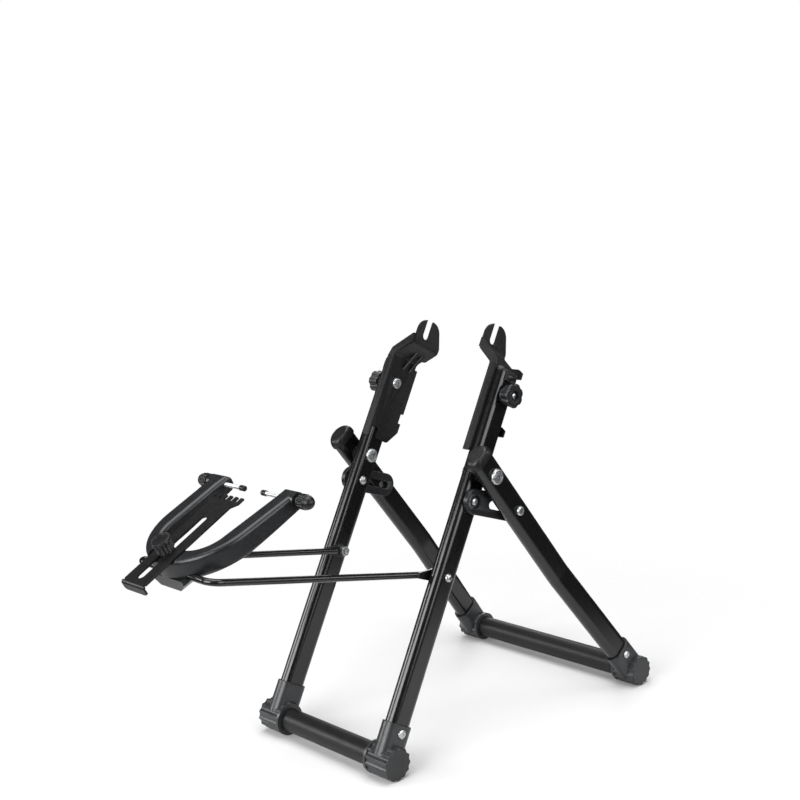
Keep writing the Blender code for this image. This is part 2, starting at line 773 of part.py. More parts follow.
def leg_sections():
    """Centres and directions down the leg, past its one bend, in the plane of X and the leg."""
    foot = Vector((LEG_FOOT_X, -LEG_LENGTH))
    knee = Vector((LEG_X, -LEG_BEND))
    end = foot + (knee - foot).normalized() * (SOCKET_FLOOR + GAP)
    steps = 2
    path = rounded([(LEG_X, LEG_TOP, 0), (*knee, LEG_BEND_RADIUS), (*end, 0)], steps)
    turns = [0.0] + [SPLAY * step / steps for step in range(steps + 1)] + [SPLAY]
    return path, turns


def make_rear_frame():
    path, turns = leg_sections()
    outer, inner = [], []
    for (x, z), turn in zip(path, turns):
        for rings, outline in zip((outer, inner), oval_outlines(0)):
            across = Vector((math.cos(turn), 0, math.sin(turn)))
            centre = Vector((x, 0, z))
            rings.append([centre + a * across + Vector((0, b, 0)) for a, b in outline])

    def drill(leg):
        ends = (LEG_INNER - TUBE_WALL, LEG_OUTER + TUBE_WALL)
        pivot = rod(PIVOT_RADIUS + GAP, *ends, HOLE_STEPS)
        screw_hole = rod(LEG_SCREW_RADIUS + GAP, *ends, HOLE_STEPS, centre=(0, -LEG_SCREW))
        cut(leg, together([pivot, screw_hole]))
        ends = (LEG_FOOT_X, LEG_FOOT_X + TUBE_DEPTH)
        hole = rod(RIVET_RADIUS + GAP, *ends, HOLE_STEPS, centre=(0, RIVET_HEIGHT))
        cut(leg, splayed(hole, LEG_FOOT_X, SPLAY), REAR_BAR_AXIS)

    tube = loft("rear_leg", outer + inner[::-1], hollow=True)
    pair("rear_leg", tube, FOLD_AXIS, POWDER_COAT, drill)
    cap = end_cap("rear_leg_cap", LEG_X, LEG_TOP, LEG_CAP_LIP)
    pair("rear_leg_cap", cap, FOLD_AXIS, MOULDED_DARK)
    make_bar("rear_bar", LEG_FOOT_X + REAR_FOOT_OUTER_REACH - FOOT_END_WALL - GAP, REAR_BAR_AXIS)
    make_foot(
        "rear_foot", LEG_FOOT_X, REAR_FOOT_OUTER_REACH, LEG_SLOPE, SPLAY, REAR_RIVET_HEAD, REAR_BAR_AXIS
    )
    head = dome(LEG_OUTER + GAP, LEG_SCREW_HEAD, LEG_SCREW_HEAD_HEIGHT)
    profile = head + [
        (LEG_OUTER + GAP, LEG_SCREW_RADIUS),
        (LEG_INNER, LEG_SCREW_RADIUS),
        (LEG_INNER, 0),
    ]
    screw = moved(turned("leg_screw", profile), z=-LEG_SCREW)

    def socket(thing):
        hex_socket(thing, LEG_OUTER + GAP + LEG_SCREW_HEAD_HEIGHT, -LEG_SCREW)

    pair("leg_screw", screw, FOLD_AXIS, ZINC, socket)


def make_fold_pivots():
    outer_seat = LEG_OUTER + GAP
    inner_seat = UPRIGHT_INNER - GAP
    inner_head = facing_inward(dome(inner_seat, PIVOT_INNER_HEAD, PIVOT_HEAD_HEIGHT), inner_seat)
    profile = dome(outer_seat, PIVOT_HEAD_RADIUS, PIVOT_HEAD_HEIGHT)
    profile += [(outer_seat, PIVOT_RADIUS), (inner_seat, PIVOT_RADIUS)] + inner_head
    pair("pivot_bolt", moved(turned("pivot_bolt", profile), z=FOLD_HEIGHT), FRAME_AXIS, ZINC)
    outlines = [circle(SPACER_RADIUS, 20), circle(PIVOT_RADIUS + GAP, HOLE_STEPS)]
    spacer = prism("pivot_spacer", outlines, LINK_INNER, LINK_OUTER, ALONG_X)
    pair("pivot_spacer", moved(spacer, z=FOLD_HEIGHT), FRAME_AXIS, MOULDED_DARK)


def make_links():
    far_end = (LINK_LENGTH + LINK_OVERRUN - LINK_RADIUS, 0)
    body = capsule((0, 0), far_end, LINK_RADIUS, 10)
    slot_start = (LINK_SLOT_START + LINK_SLOT_WIDTH / 2, 0)
    slot = capsule(slot_start, (LINK_LENGTH, 0), LINK_SLOT_WIDTH / 2, 6)

    bore = LINK_SCREW_RADIUS + GAP
    recess_floor = LINK_OUTER - LINK_RECESS_DEPTH
    stepped_hole = [
        (LINK_OUTER + MM, 0),
        (LINK_OUTER + MM, LINK_RECESS_RADIUS),
        (recess_floor, LINK_RECESS_RADIUS),
        (recess_floor, bore),
        (LINK_INNER - MM, bore),
        (LINK_INNER - MM, 0),
    ]

    def shape(link):
        through = prism("slot", [slot], LINK_INNER - MM, LINK_OUTER + MM, ALONG_X)
        cut(link, together([through, turned("stepped_hole", stepped_hole)]))

    mesh = prism("stay_link", [body], LINK_INNER, LINK_OUTER, ALONG_X, edge=LINK_EDGE)
    pair("stay_link", mesh, LINK_AXIS, MOULDED, shape)
    outer_seat = LINK_OUTER - LINK_RECESS_DEPTH + GAP
    inner_seat = UPRIGHT_INNER - GAP
    head = dome(outer_seat, LINK_SCREW_HEAD, LINK_SCREW_HEAD_HEIGHT)
    head = pitted(head, LINK_SCREW_PIT, LINK_SCREW_PIT_DEPTH)
    inner_head = facing_inward(dome(inner_seat, LINK_INNER_HEAD, LINK_SCREW_HEAD_HEIGHT), inner_seat)
    profile = head + [(outer_seat, LINK_SCREW_RADIUS), (inner_seat, LINK_SCREW_RADIUS)] + inner_head
    screw = moved(turned("link_screw", profile, HOLE_STEPS), z=LINK_HEIGHT)
    pair("link_screw", screw, FRAME_AXIS, ZINC)


def make_dropouts():
    """Bent sheet plates on the uprights' inner faces, drawn in to the hub and slotted for its axle."""
    sheet_x = UPRIGHT_INNER - GAP - SHEET / 2
    front = -(TUBE_WIDTH / 2 + GAP + SHEET)
    top = HUB_HEIGHT + FORK_TOP
    bend = rounded(
        [
            (sheet_x, PLATE_BOTTOM - MM, 0),
            (sheet_x, NECK_HEIGHT, SHEET_BEND),
            (FORK_X, FORK_HEIGHT, SHEET_BEND),
            (FORK_X, top + MM, 0),
        ]
    )
    strip = prism("dropout", [thickened(bend, SHEET)], -PLATE_REAR - MM, -front + MM, ALONG_Y)
    face = rounded(
        [
            (front, PLATE_BOTTOM + CORNER_RISE, 0),
            (front + CORNER_DEPTH, PLATE_BOTTOM + CORNER_RISE, PLATE_CORNER),
            (front + CORNER_DEPTH, PLATE_BOTTOM, PLATE_CORNER),
            (TUBE_WIDTH / 2, PLATE_BOTTOM, PLATE_CORNER),
            (PLATE_REAR, PLATE_BOTTOM + PLATE_CHAMFER, PLATE_CORNER),
            (PLATE_REAR, FORK_HEIGHT + SHOULDER_RISE, NECK_CORNER),
            (FORK_RADIUS, top, FORK_RADIUS - GAP / 2),
            (-FORK_RADIUS, top, FORK_RADIUS - GAP / 2),
            (-FORK_RADIUS, FORK_HEIGHT, FORK_ROOT_RADIUS),
            (front, NECK_HEIGHT, NECK_CORNER),
        ]
    )

    def shape(plate):
        keep_inside(plate, prism("face", [face], FORK_X / 2, UPRIGHT_X, ALONG_X))
        sheet_face = UPRIGHT_INNER - GAP - SHEET
        join(
            plate,
            box(
                (sheet_face, front, PLATE_BOTTOM),
                (UPRIGHT_INNER + FLANGE_DEPTH, front + SHEET, NECK_HEIGHT - SHEET),
            ),
        )
        flange_edge = UPRIGHT_INNER + FLANGE_DEPTH
        web = [
            (sheet_x, NECK_HEIGHT - SHEET - GAP),
            (flange_edge - GAP, NECK_HEIGHT - SHEET - GAP),
            (flange_edge - WEB_KNEE_INSET, NECK_HEIGHT + WEB_KNEE_RISE),
            (FORK_X + WEB_TOP_DEPTH, FORK_HEIGHT + WEB_TOP_RISE),
            (FORK_X, FORK_HEIGHT + WEB_TOP_RISE),
            (FORK_X, FORK_HEIGHT),
            (sheet_x, NECK_HEIGHT),
        ]
        join(plate, prism("web", [web], -front - SHEET, -front - GAP, ALONG_Y))
        root = PLATE_REAR - TAB_NOTCH
        for height in TAB_HEIGHTS:
            low = height - TAB_WIDTH / 2
            high = height + TAB_WIDTH / 2
            cut(plate, box((FORK_X, root, low), (UPRIGHT_X, PLATE_REAR + MM, high)))
            join(
                plate,
                box((sheet_face, root - SHEET, low + GAP), (UPRIGHT_INNER + TAB_LENGTH, root, high - GAP)),
            )
        neck = Vector((FORK_X - sheet_x, FORK_HEIGHT - NECK_HEIGHT)).normalized() * RIB_REACH
        for across in RIB_PLACES:
            start = (sheet_x + SHEET / 2 - RIB_RADIUS, across, NECK_HEIGHT - RIB_REACH)
            end = (sheet_x + neck.x, across, NECK_HEIGHT + neck.y)
            join(plate, bar_between(start, end, RIB_RADIUS))
        slot = capsule((0, HUB_HEIGHT), (0, top + FORK_RADIUS), AXLE_SLOT_WIDTH / 2, 10)
        cut(plate, prism("axle_slot", [slot], FORK_X / 2, sheet_x, ALONG_X))
        cut(plate, rod(CLAMP_BOLT_RADIUS + GAP, FORK_X, UPRIGHT_X, HOLE_STEPS, centre=(0, KNOB_HEIGHT)))

    pair("dropout_plate", strip, FRAME_AXIS, BLACK_SHEET, shape)
    seat = UPRIGHT_INNER - 2 * GAP - SHEET
    bolt_end = KNOB_SEAT + STAR_NECK_LENGTH + STAR_THICKNESS - STAR_RECESS_DEPTH / 2
    profile = [
        (bolt_end, 0),
        (bolt_end, CLAMP_BOLT_RADIUS - CLAMP_BOLT_CHAMFER),
        (bolt_end - CLAMP_BOLT_CHAMFER, CLAMP_BOLT_RADIUS),
        (seat, CLAMP_BOLT_RADIUS),
    ]
    profile += facing_inward(dome(seat, CLAMP_HEAD_RADIUS, CLAMP_HEAD_HEIGHT), seat)
    bolt = moved(turned("clamp_bolt", profile), z=KNOB_HEIGHT)
    pair("clamp_bolt", bolt, FRAME_AXIS, ZINC)


def make_star_knobs():
    start = KNOB_SEAT + STAR_NECK_LENGTH
    outer = start + STAR_THICKNESS
    edge = STAR_EDGE * (1 - math.cos(math.radians(45)))
    sections = [
        (start, STAR_RADIUS - STAR_TAPER - STAR_EDGE),
        (start + edge, STAR_RADIUS - STAR_TAPER - edge),
        (start + STAR_EDGE, STAR_RADIUS - STAR_TAPER),
        (outer - STAR_EDGE, STAR_RADIUS),
        (outer - edge, STAR_RADIUS - edge),
        (outer, STAR_RADIUS - STAR_EDGE),
    ]
    rings = []
    for x, radius in sections:
        rings.append(ring(wavy(radius, STAR_LOBE_DEPTH, STAR_LOBES, 4, math.radians(90)), x))
    knob = loft("star_knob", rings)
    knob.transform(ALONG_X)

    def shape(thing):
        join(thing, rod(STAR_NECK_RADIUS, KNOB_SEAT, start + MM, 16))
        cut(thing, rod(STAR_RECESS_RADIUS, outer - STAR_RECESS_DEPTH, outer + MM, 14))
        cut(thing, rod(CLAMP_BOLT_RADIUS + GAP, KNOB_SEAT - MM, outer, HOLE_STEPS))

    pair("star_knob", knob, KNOB_AXIS, MOULDED, shape)


def make_wire_arm():
    corners = [
        (-WIRE_X, -WIRE_START, 0),
        (-WIRE_FRONT_X, -WIRE_REACH, WIRE_BEND_RADIUS),
        (WIRE_FRONT_X, -WIRE_REACH, WIRE_BEND_RADIUS),
        (WIRE_X, -WIRE_START, 0),
    ]
    curve = bpy.data.curves.new("wire_arm", "CURVE")
    curve.dimensions = "3D"
    curve.bevel_depth = WIRE_RADIUS
    curve.bevel_resolution = 3
    curve.use_fill_caps = True
    points = rounded(corners, 5)
    spline = curve.splines.new("POLY")
    spline.points.add(len(points) - 1)
    for point, (a, b) in zip(spline.points, points):
        point.co = (a, b, 0, 1)
    wire = piece("wire_arm", curve_to_mesh(curve, "wire_arm"), WIRE_AXIS, BLACK_WIRE)
    soften(wire.data)
    eye_outer = UPRIGHT_INNER - GAP
    eye = arc((0, 0), EYE_RADIUS, -EYE_SWEEP, EYE_SWEEP, 10)
    eye += [(-EYE_LENGTH, EYE_ROOT), (-EYE_LENGTH, -EYE_ROOT)]
    for low, high in ((eye_outer - EYE_THICKNESS, eye_outer), (-eye_outer, EYE_THICKNESS - eye_outer)):
        join(wire, prism("eye", [eye], low, high, ALONG_X))
    cut(wire, rod(WIRE_BOLT_RADIUS + GAP, -UPRIGHT_X, UPRIGHT_X, HOLE_STEPS))

    seat = UPRIGHT_OUTER + GAP
    nut_outer = eye_outer - EYE_THICKNESS - GAP
    tail = nut_outer - NUT_HEIGHT - WIRE_BOLT_TAIL
    profile = dome(seat, WIRE_BOLT_HEAD, WIRE_BOLT_HEAD_HEIGHT)
    profile += [(seat, WIRE_BOLT_RADIUS), (tail, WIRE_BOLT_RADIUS), (tail, 0)]
    bolt = moved(turned("wire_bolt", profile), z=WIRE_HEIGHT)

    def socket(thing):
        hex_socket(thing, seat + WIRE_BOLT_HEAD_HEIGHT, WIRE_HEIGHT)

    pair("wire_bolt", bolt, FRAME_AXIS, ZINC, socket)
    nut = rod(NUT_FLATS / math.sqrt(3), nut_outer - NUT_HEIGHT, nut_outer, 6, centre=(0, WIRE_HEIGHT))

    def tap(thing):
        ends = (nut_outer - 2 * NUT_HEIGHT, nut_outer + MM)
        cut(thing, rod(WIRE_BOLT_RADIUS + GAP, *ends, HOLE_STEPS, centre=(0, WIRE_HEIGHT)))

    pair("wire_nut", nut, FRAME_AXIS, ZINC, tap)


def make_yoke():
    """The horseshoe: an outline in X and reach, kept inside a side profile of reach and height."""
    bottom = YOKE_TOP - YOKE_DEPTH
    outer_centre = YOKE_OUTER_BACK + YOKE_OUTER_X
    outline = arc((0, outer_centre), YOKE_OUTER_X, 180, 360, 20)
    corner = YOKE_INNER_X - YOKE_CORNER_RADIUS
    inner_back = YOKE_INNER_BACK + YOKE_CORNER_RADIUS
    outline += [(YOKE_OUTER_X, YOKE_REACH + MM), (YOKE_INNER_X, YOKE_REACH + MM)]
    outline += arc((corner, inner_back), YOKE_CORNER_RADIUS, 0, -90, 6)
    outline += arc((-corner, inner_back), YOKE_CORNER_RADIUS, -90, -180, 6)
    outline += [(-YOKE_INNER_X, YOKE_REACH + MM), (-YOKE_OUTER_X, YOKE_REACH + MM)]
    horseshoe = prism("yoke", [outline], bottom, YOKE_TOP, edge=YOKE_EDGE, edge_steps=1)
    yoke = piece("yoke", horseshoe, YOKE_AXIS, MOULDED)
    feeler_height = YOKE_TOP - FEELER_DROP
    side = rounded(
        [
            (YOKE_OUTER_BACK - MM, bottom - MM, 0),
            (YOKE_TAPER_START, bottom - MM, 0),
            (YOKE_REACH, YOKE_TOP - YOKE_END_DEPTH, YOKE_END_DEPTH / 2 - MM),
            (YOKE_REACH, YOKE_TOP, YOKE_END_DEPTH / 2 - MM),
            (YOKE_OUTER_BACK - MM, YOKE_TOP + MM, 0),
        ],
        6,
    )
    keep_inside(yoke, prism("side", [side], -2 * YOKE_OUTER_X, 2 * YOKE_OUTER_X, ALONG_X))
    block_low = bottom - CLAMP_DEPTH
    block = rounded(
        [
            (-CLAMP_TOP_HALF_WIDTH, bottom + CLAMP_BITE, 0),
            (-CLAMP_TOP_HALF_WIDTH, bottom - CLAMP_SHOULDER, CLAMP_SHOULDER),
            (-CLAMP_HALF_WIDTH, block_low, CLAMP_ROUNDING),
            (CLAMP_HALF_WIDTH, block_low, CLAMP_ROUNDING),
            (CLAMP_TOP_HALF_WIDTH, bottom - CLAMP_SHOULDER, CLAMP_SHOULDER),
            (CLAMP_TOP_HALF_WIDTH, bottom + CLAMP_BITE, 0),
        ]
    )
    join(yoke, prism("clamp", [block], -CLAMP_FRONT, -CLAMP_BACK, ALONG_Y))
    channel_low = (-CHANNEL_HALF_WIDTH, -2 * YOKE_OUTER_X, -GAP)
    channel_high = (CHANNEL_HALF_WIDTH, YOKE_OUTER_X, 2 * YOKE_DEPTH)
    cut(yoke, box(channel_low, channel_high), GAUGE_SEAT)
    cut(yoke, rod(WIRE_RADIUS + GAP, -2 * YOKE_OUTER_X, 2 * YOKE_OUTER_X, HOLE_STEPS))
    screw_line = (FEELER_REACH, feeler_height)
    boss_root = YOKE_OUTER_X - 2 * YOKE_EDGE
    boss_face = YOKE_OUTER_X + FEELER_BOSS_HEIGHT
    join(yoke, rod(FEELER_BOSS_RADIUS, boss_root, boss_face, centre=screw_line))
    join(yoke, rod(FEELER_BOSS_RADIUS, -boss_face, -boss_root, centre=screw_line))
    cut(yoke, rod(FEELER_RADIUS + GAP, -2 * YOKE_OUTER_X, 2 * YOKE_OUTER_X, HOLE_STEPS, centre=screw_line))
    stud_hole = rod(THUMB_STUD_RADIUS + GAP, -THUMB_STUD_DEPTH - GAP, YOKE_DEPTH, HOLE_STEPS, ALONG_Z)
    cut(yoke, stud_hole, THUMB_AXIS)


def make_feelers():
    tip_end = FEELER_TIP_X + FEELER_TIP_LENGTH
    rod_low = FEELER_TIP_X + FEELER_TIP_NOSE
    rod_high = CAP_INNER_X + CAP_LENGTH / 2
    pair("feeler_screw", rod(FEELER_RADIUS, rod_low + GAP, rod_high - GAP, 16), FEELER_AXIS, ZINC)
    bore = FEELER_RADIUS + GAP
    tip = [
        (tip_end, bore),
        (tip_end, FEELER_TIP_RADIUS),
        (FEELER_TIP_X + FEELER_TIP_CHAMFER, FEELER_TIP_RADIUS),
        (FEELER_TIP_X, FEELER_TIP_RADIUS - FEELER_TIP_CHAMFER),
        (FEELER_TIP_X, 0),
    ]
    tip = [(rod_low, 0), (rod_low, bore)] + tip
    pair("feeler_tip", turned("feeler_tip", tip, HOLE_STEPS), FEELER_AXIS, MOULDED_DARK)
    dome_start = CAP_INNER_X + CAP_LENGTH - CAP_DOME_LENGTH
    skin = CAP_RADIUS - CAP_RIB_DEPTH
    profile = dome(dome_start, skin, CAP_DOME_LENGTH)
    profile += [(CAP_INNER_X, skin), (CAP_INNER_X, bore), (rod_high, bore), (rod_high, 0)]
    ribs = wavy(CAP_RADIUS, CAP_RIB_DEPTH / 2, CAP_RIBS, 2)
    hollow = circle((bore + skin) / 2, HOLE_STEPS)

    def knurl(cap):
        join(cap, prism("ribs", [ribs, hollow], CAP_INNER_X + MM, dome_start - GAP, ALONG_X))

    pair("feeler_cap", turned("feeler_cap", profile), FEELER_AXIS, MOULDED_DARK, knurl)


def make_gauge():
    """The comb gauge: a slotted slide with a turned-down tab outside and teeth inside."""
    sheet_height = GAUGE_THICKNESS / 2
    bend = rounded(
        [
            (sheet_height - GAUGE_BACK, -GAUGE_TAB - MM, 0),
            (sheet_height - GAUGE_BACK, sheet_height, GAUGE_BEND),
            (GAUGE_FRONT + MM, sheet_height, 0),
        ]
    )
    reach = 2 * COMB_HALF_WIDTH
    strip = prism("comb_gauge", [thickened(bend, GAUGE_THICKNESS)], -reach, reach, ALONG_X)
    gauge = piece("comb_gauge", strip, GAUGE_AXIS, BLACK_SHEET)
    comb_root = GAUGE_FRONT - COMB_TOOTH_LENGTH
    bend_end = TAB_BEND - GAUGE_BACK
    right_side = [
        (GAUGE_TAB_HALF_WIDTH, -GAUGE_BACK - MM),
        (GAUGE_TAB_HALF_WIDTH, bend_end),
        (GAUGE_HALF_WIDTH - RELIEF, bend_end),
        (GAUGE_HALF_WIDTH - RELIEF, bend_end + RELIEF),
        (GAUGE_HALF_WIDTH, bend_end + RELIEF),
        (GAUGE_HALF_WIDTH, COMB_FLARE),
        (COMB_HALF_WIDTH, comb_root - COMB_SHOULDER),
    ]
    pitch = 2 * COMB_HALF_WIDTH / (2 * COMB_TEETH - 1)
    teeth = []
    for index in range(COMB_TEETH):
        edge = COMB_HALF_WIDTH - 2 * index * pitch
        teeth += [(edge, comb_root), (edge, GAUGE_FRONT)]
        teeth += [(edge - pitch, GAUGE_FRONT), (edge - pitch, comb_root)]
    left_side = [(-x, y) for x, y in reversed(right_side)]
    slot = capsule(
        (0, -GAUGE_SLOT_BACK + GAUGE_SLOT_WIDTH / 2),
        (0, GAUGE_SLOT_FRONT - GAUGE_SLOT_WIDTH / 2),
        GAUGE_SLOT_WIDTH / 2,
    )
    outline = right_side + teeth + left_side
    keep_inside(gauge, prism("outline", [outline, slot], -2 * GAUGE_TAB, GAUGE_TAB))
    front_view = rounded(
        [
            (-reach - MM, GAUGE_THICKNESS + MM, 0),
            (-reach - MM, -MM, 0),
            (-GAUGE_TAB_HALF_WIDTH - MM, -MM, 0),
            (-GAUGE_TAB_HALF_WIDTH - MM, -GAUGE_TAB, GAUGE_TAB_ROUNDING),
            (GAUGE_TAB_HALF_WIDTH + MM, -GAUGE_TAB, GAUGE_TAB_ROUNDING),
            (GAUGE_TAB_HALF_WIDTH + MM, -MM, 0),
            (reach + MM, -MM, 0),
            (reach + MM, GAUGE_THICKNESS + MM, 0),
        ]
    )
    keep_inside(gauge, prism("tab", [front_view], -GAUGE_FRONT - 2 * MM, GAUGE_BACK + 2 * MM, ALONG_Y))


def make_thumb_screw():
    seat = GAUGE_THICKNESS + GAP
    crown = seat + THUMB_HEIGHT
    bore = THUMB_STUD_RADIUS + GAP
    bore_top = seat + THUMB_HEIGHT / 2
    disc = crown - THUMB_DISC
    profile = dome(disc + THUMB_DISC / 2, THUMB_RADIUS, THUMB_DISC / 2)
    profile += [
        (disc, THUMB_RADIUS),
        (disc - MM, THUMB_SKIRT_RADIUS - THUMB_RIB_DEPTH),
        (seat + THUMB_COLLAR, THUMB_SKIRT_RADIUS - THUMB_RIB_DEPTH),
        (seat, THUMB_COLLAR_RADIUS),
        (seat, bore),
        (bore_top, bore),
        (bore_top, 0),
    ]
    knob = piece("thumb_knob", turned("thumb_knob", profile, 18, ALONG_Z), THUMB_AXIS, MOULDED_DARK)
    ribs = wavy(THUMB_SKIRT_RADIUS, THUMB_RIB_DEPTH / 2, THUMB_RIBS, 2)
    hollow = circle((bore + THUMB_SKIRT_RADIUS) / 2, HOLE_STEPS)
    join(knob, prism("ribs", [ribs, hollow], seat + THUMB_COLLAR + GAP, disc - MM / 2))
    stud = rod(THUMB_STUD_RADIUS, -THUMB_STUD_DEPTH, bore_top - GAP, 16, ALONG_Z)
    piece("thumb_stud", stud, THUMB_AXIS, ZINC)


def on_upright(height):
    return Vector((0, FRONT_Y + height * math.sin(LEAN), BAR_Z + height * math.cos(LEAN)))


clear_scene()
PARTS = new_collection("wheel_truing_stand")
CUTTERS = new_collection("cutters", hidden=True)

FOLD_POINT = on_upright(FOLD_HEIGHT)
LINK_POINT = on_upright(LINK_HEIGHT)
LEG_SCREW_POINT = FOLD_POINT + LEG_SCREW * Vector((0, math.sin(LEG_SLOPE), -math.cos(LEG_SLOPE)))
LINK_WAY = LEG_SCREW_POINT - LINK_POINT
LINK_LENGTH = LINK_WAY.length
LINK_TILT = math.atan2(LINK_WAY.z, LINK_WAY.y)

FRAME_AXIS = empty("frame_axis", (0, FRONT_Y, BAR_Z), -LEAN)
KNOB_AXIS = empty("knob_axis", (0, 0, KNOB_HEIGHT), 0, FRAME_AXIS)
FOLD_AXIS = empty("fold_axis", FOLD_POINT, LEG_SLOPE)
REAR_BAR_AXIS = empty("rear_bar_axis", (0, 0, -LEG_LENGTH), 0, FOLD_AXIS)
LINK_AXIS = empty("link_axis", LINK_POINT, LINK_TILT)
WIRE_AXIS = empty("wire_axis", on_upright(WIRE_HEIGHT), -WIRE_RISE)
YOKE_AXIS = empty("yoke_axis", (0, -WIRE_REACH, 0), YOKE_TILT + WIRE_RISE, WIRE_AXIS)
FEELER_AXIS = empty("feeler_axis", (0, FEELER_REACH, YOKE_TOP - FEELER_DROP), 0, YOKE_AXIS)
GAUGE_SEAT = empty("gauge_seat", (0, 0, GAUGE_HEIGHT), GAUGE_SLOPE, YOKE_AXIS)
GAUGE_AXIS = empty("gauge_axis", (0, 0, 0), 0, GAUGE_SEAT)
THUMB_AXIS = empty("thumb_axis", (0, THUMB_REACH, 0), 0, GAUGE_SEAT)
bpy.context.view_layer.update()

make_front_frame()
make_rear_frame()
make_fold_pivots()
make_links()
make_dropouts()
make_star_knobs()
make_wire_arm()
make_yoke()
make_feelers()
make_gauge()
make_thumb_screw()
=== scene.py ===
import json
import math

import bmesh
import bpy
from mathutils import Matrix, Vector


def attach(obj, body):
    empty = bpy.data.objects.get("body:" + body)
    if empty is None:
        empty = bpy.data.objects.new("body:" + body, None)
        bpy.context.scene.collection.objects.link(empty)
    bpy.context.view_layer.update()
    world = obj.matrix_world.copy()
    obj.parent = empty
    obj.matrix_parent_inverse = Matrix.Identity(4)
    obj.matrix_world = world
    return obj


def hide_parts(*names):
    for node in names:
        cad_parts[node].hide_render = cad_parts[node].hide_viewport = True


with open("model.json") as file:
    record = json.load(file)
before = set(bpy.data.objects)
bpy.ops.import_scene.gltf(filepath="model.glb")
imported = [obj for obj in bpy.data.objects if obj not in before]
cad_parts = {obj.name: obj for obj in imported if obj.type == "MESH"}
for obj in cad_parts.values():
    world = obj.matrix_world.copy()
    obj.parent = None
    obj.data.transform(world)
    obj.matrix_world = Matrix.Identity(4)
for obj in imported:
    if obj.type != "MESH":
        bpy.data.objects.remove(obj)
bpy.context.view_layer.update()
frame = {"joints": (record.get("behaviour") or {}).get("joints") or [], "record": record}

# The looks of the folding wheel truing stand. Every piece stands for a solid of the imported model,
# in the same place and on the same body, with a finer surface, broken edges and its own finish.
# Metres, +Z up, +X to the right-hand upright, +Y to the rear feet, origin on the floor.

RECORD = frame["record"]
BODY_OF = {node: body for body, nodes in RECORD["behaviour"]["bodies"].items() for node in nodes}
SLOT_OF = {entry["node"]: entry["material_slot"] for entry in RECORD["subparts"]}

MM = 0.001
GAP = 0.3 * MM  # running clearance between touching pieces
EDGE = 0.35 * MM  # broken edge of metal pieces
MOULD_EDGE = 0.6 * MM  # rounded edge of moulded pieces
KNOB_EDGE = 0.4 * MM  # broken edge of the star knobs
SLIM_EDGE = 0.3 * MM  # broken edge of leg caps, links, gauge and thumb knob
FEELER_CAP_EDGE = 0.25 * MM
FINE_EDGE = 0.2 * MM  # broken edge of pivot bolts, wire arm and feeler tips
SCREW_EDGE = 0.15 * MM  # broken edge of rivets, screws and small bolts
EDGE_STEPS = 2
EDGE_ANGLE = math.radians(38)  # edges that turn by more than this are broken
ARC_STEPS = 24  # facets of a tube's half-round edge
HOLE_STEPS = 40
TURN_STEPS = 56

# Steel tubes and bars
TUBE_WIDTH = 29 * MM
TUBE_DEPTH = 16 * MM
TUBE_WALL = 1.5 * MM
BAR_RADIUS = 12.5 * MM
BAR_WALL = 1.5 * MM

# Front frame: heights run along an upright, from the front bar's axis
LEAN = math.radians(28.7)
UPRIGHT_X = 85.5 * MM
WIRE_HEIGHT = 192.1 * MM
FOLD_HEIGHT = 305 * MM
LINK_HEIGHT = FOLD_HEIGHT - 30 * MM
NECK_HEIGHT = FOLD_HEIGHT + 119 * MM  # where the dropout plates turn inward
UPRIGHT_TOP = NECK_HEIGHT - 7.5 * MM
KNOB_HEIGHT = UPRIGHT_TOP - 23.5 * MM
FORK_HEIGHT = NECK_HEIGHT + 16 * MM
HUB_HEIGHT = FORK_HEIGHT + 12.9 * MM

# Rear legs: distances run down a leg from the fold axis
LEG_LENGTH = 337.7 * MM
LEG_TOP = 30.5 * MM
LEG_BEND = 165 * MM
LEG_BEND_RADIUS = 90 * MM
LEG_FOOT_X = 124.5 * MM
LEG_SCREW = 54.7 * MM

# Feet
FOOT_RADIUS = 17.2 * MM
FLUTES = 13
FLUTE_DEPTH = 1.6 * MM
FOOT_WEB = 1.9 * MM
FOOT_END_WALL = 3 * MM
COLLAR_LENGTH = 3.2 * MM
SLEEVE_WALL = 2.3 * MM
SLEEVE_TOP = 37.5 * MM
SLEEVE_LOW = 2.5 * MM
SLEEVE_EDGE = 0.6 * MM
FLUTE_SHARPNESS = 0.75  # under 1, the ribs are narrower than the grooves between them
FOOT_EDGE = 0.9 * MM
FOOT_INNER_REACH = 14.5 * MM
FRONT_FOOT_OUTER_REACH = 18.5 * MM
REAR_FOOT_OUTER_REACH = 15 * MM
RIVET_HEIGHT = 29 * MM
RIVET_RADIUS = 2 * MM
FRONT_RIVET_HEAD = 5 * MM
REAR_RIVET_HEAD = 4.5 * MM
RIVET_HEAD_HEIGHT = 2 * MM
RIVET_PIT = 1.3 * MM
GUSSET_TOP = 19.5 * MM
GUSSET_WIDTH = 16 * MM
GUSSET_EDGE = 4 * MM
GUSSET_BITE = 0.5 * MM

# Caps in the tubes' open tops
PLUG_LENGTH = 8 * MM
CAP_WALL = 1.4 * MM
CAP_DOME = 4 * MM
LEG_CAP_LIP = 8 * MM
LEG_CAP_RISE = 2.7 * MM  # how far a leg cap stands above the leg's end
LEG_CAP_NOSE = 7.4 * MM
LEG_CAP_INSET = 1.2 * MM
LEG_CAP_SHOULDER = 6 * MM  # from where a leg cap starts to round over, up to the leg's end
LEG_CAP_COVER = 4 * MM  # how far the leg's end lies down inside its cap
EAR_LENGTH = 9.5 * MM
EAR_HALF_WIDTH = 8 * MM
EAR_THICKNESS = 2.5 * MM
EAR_BRIDGE = 2 * MM
EAR_ROUNDING = 1.2 * MM
EAR_TOP_ROUNDING = 2.3 * MM
EAR_BUMP = 4.2 * MM
UPRIGHT_CAP_NOSE = 5.2 * MM

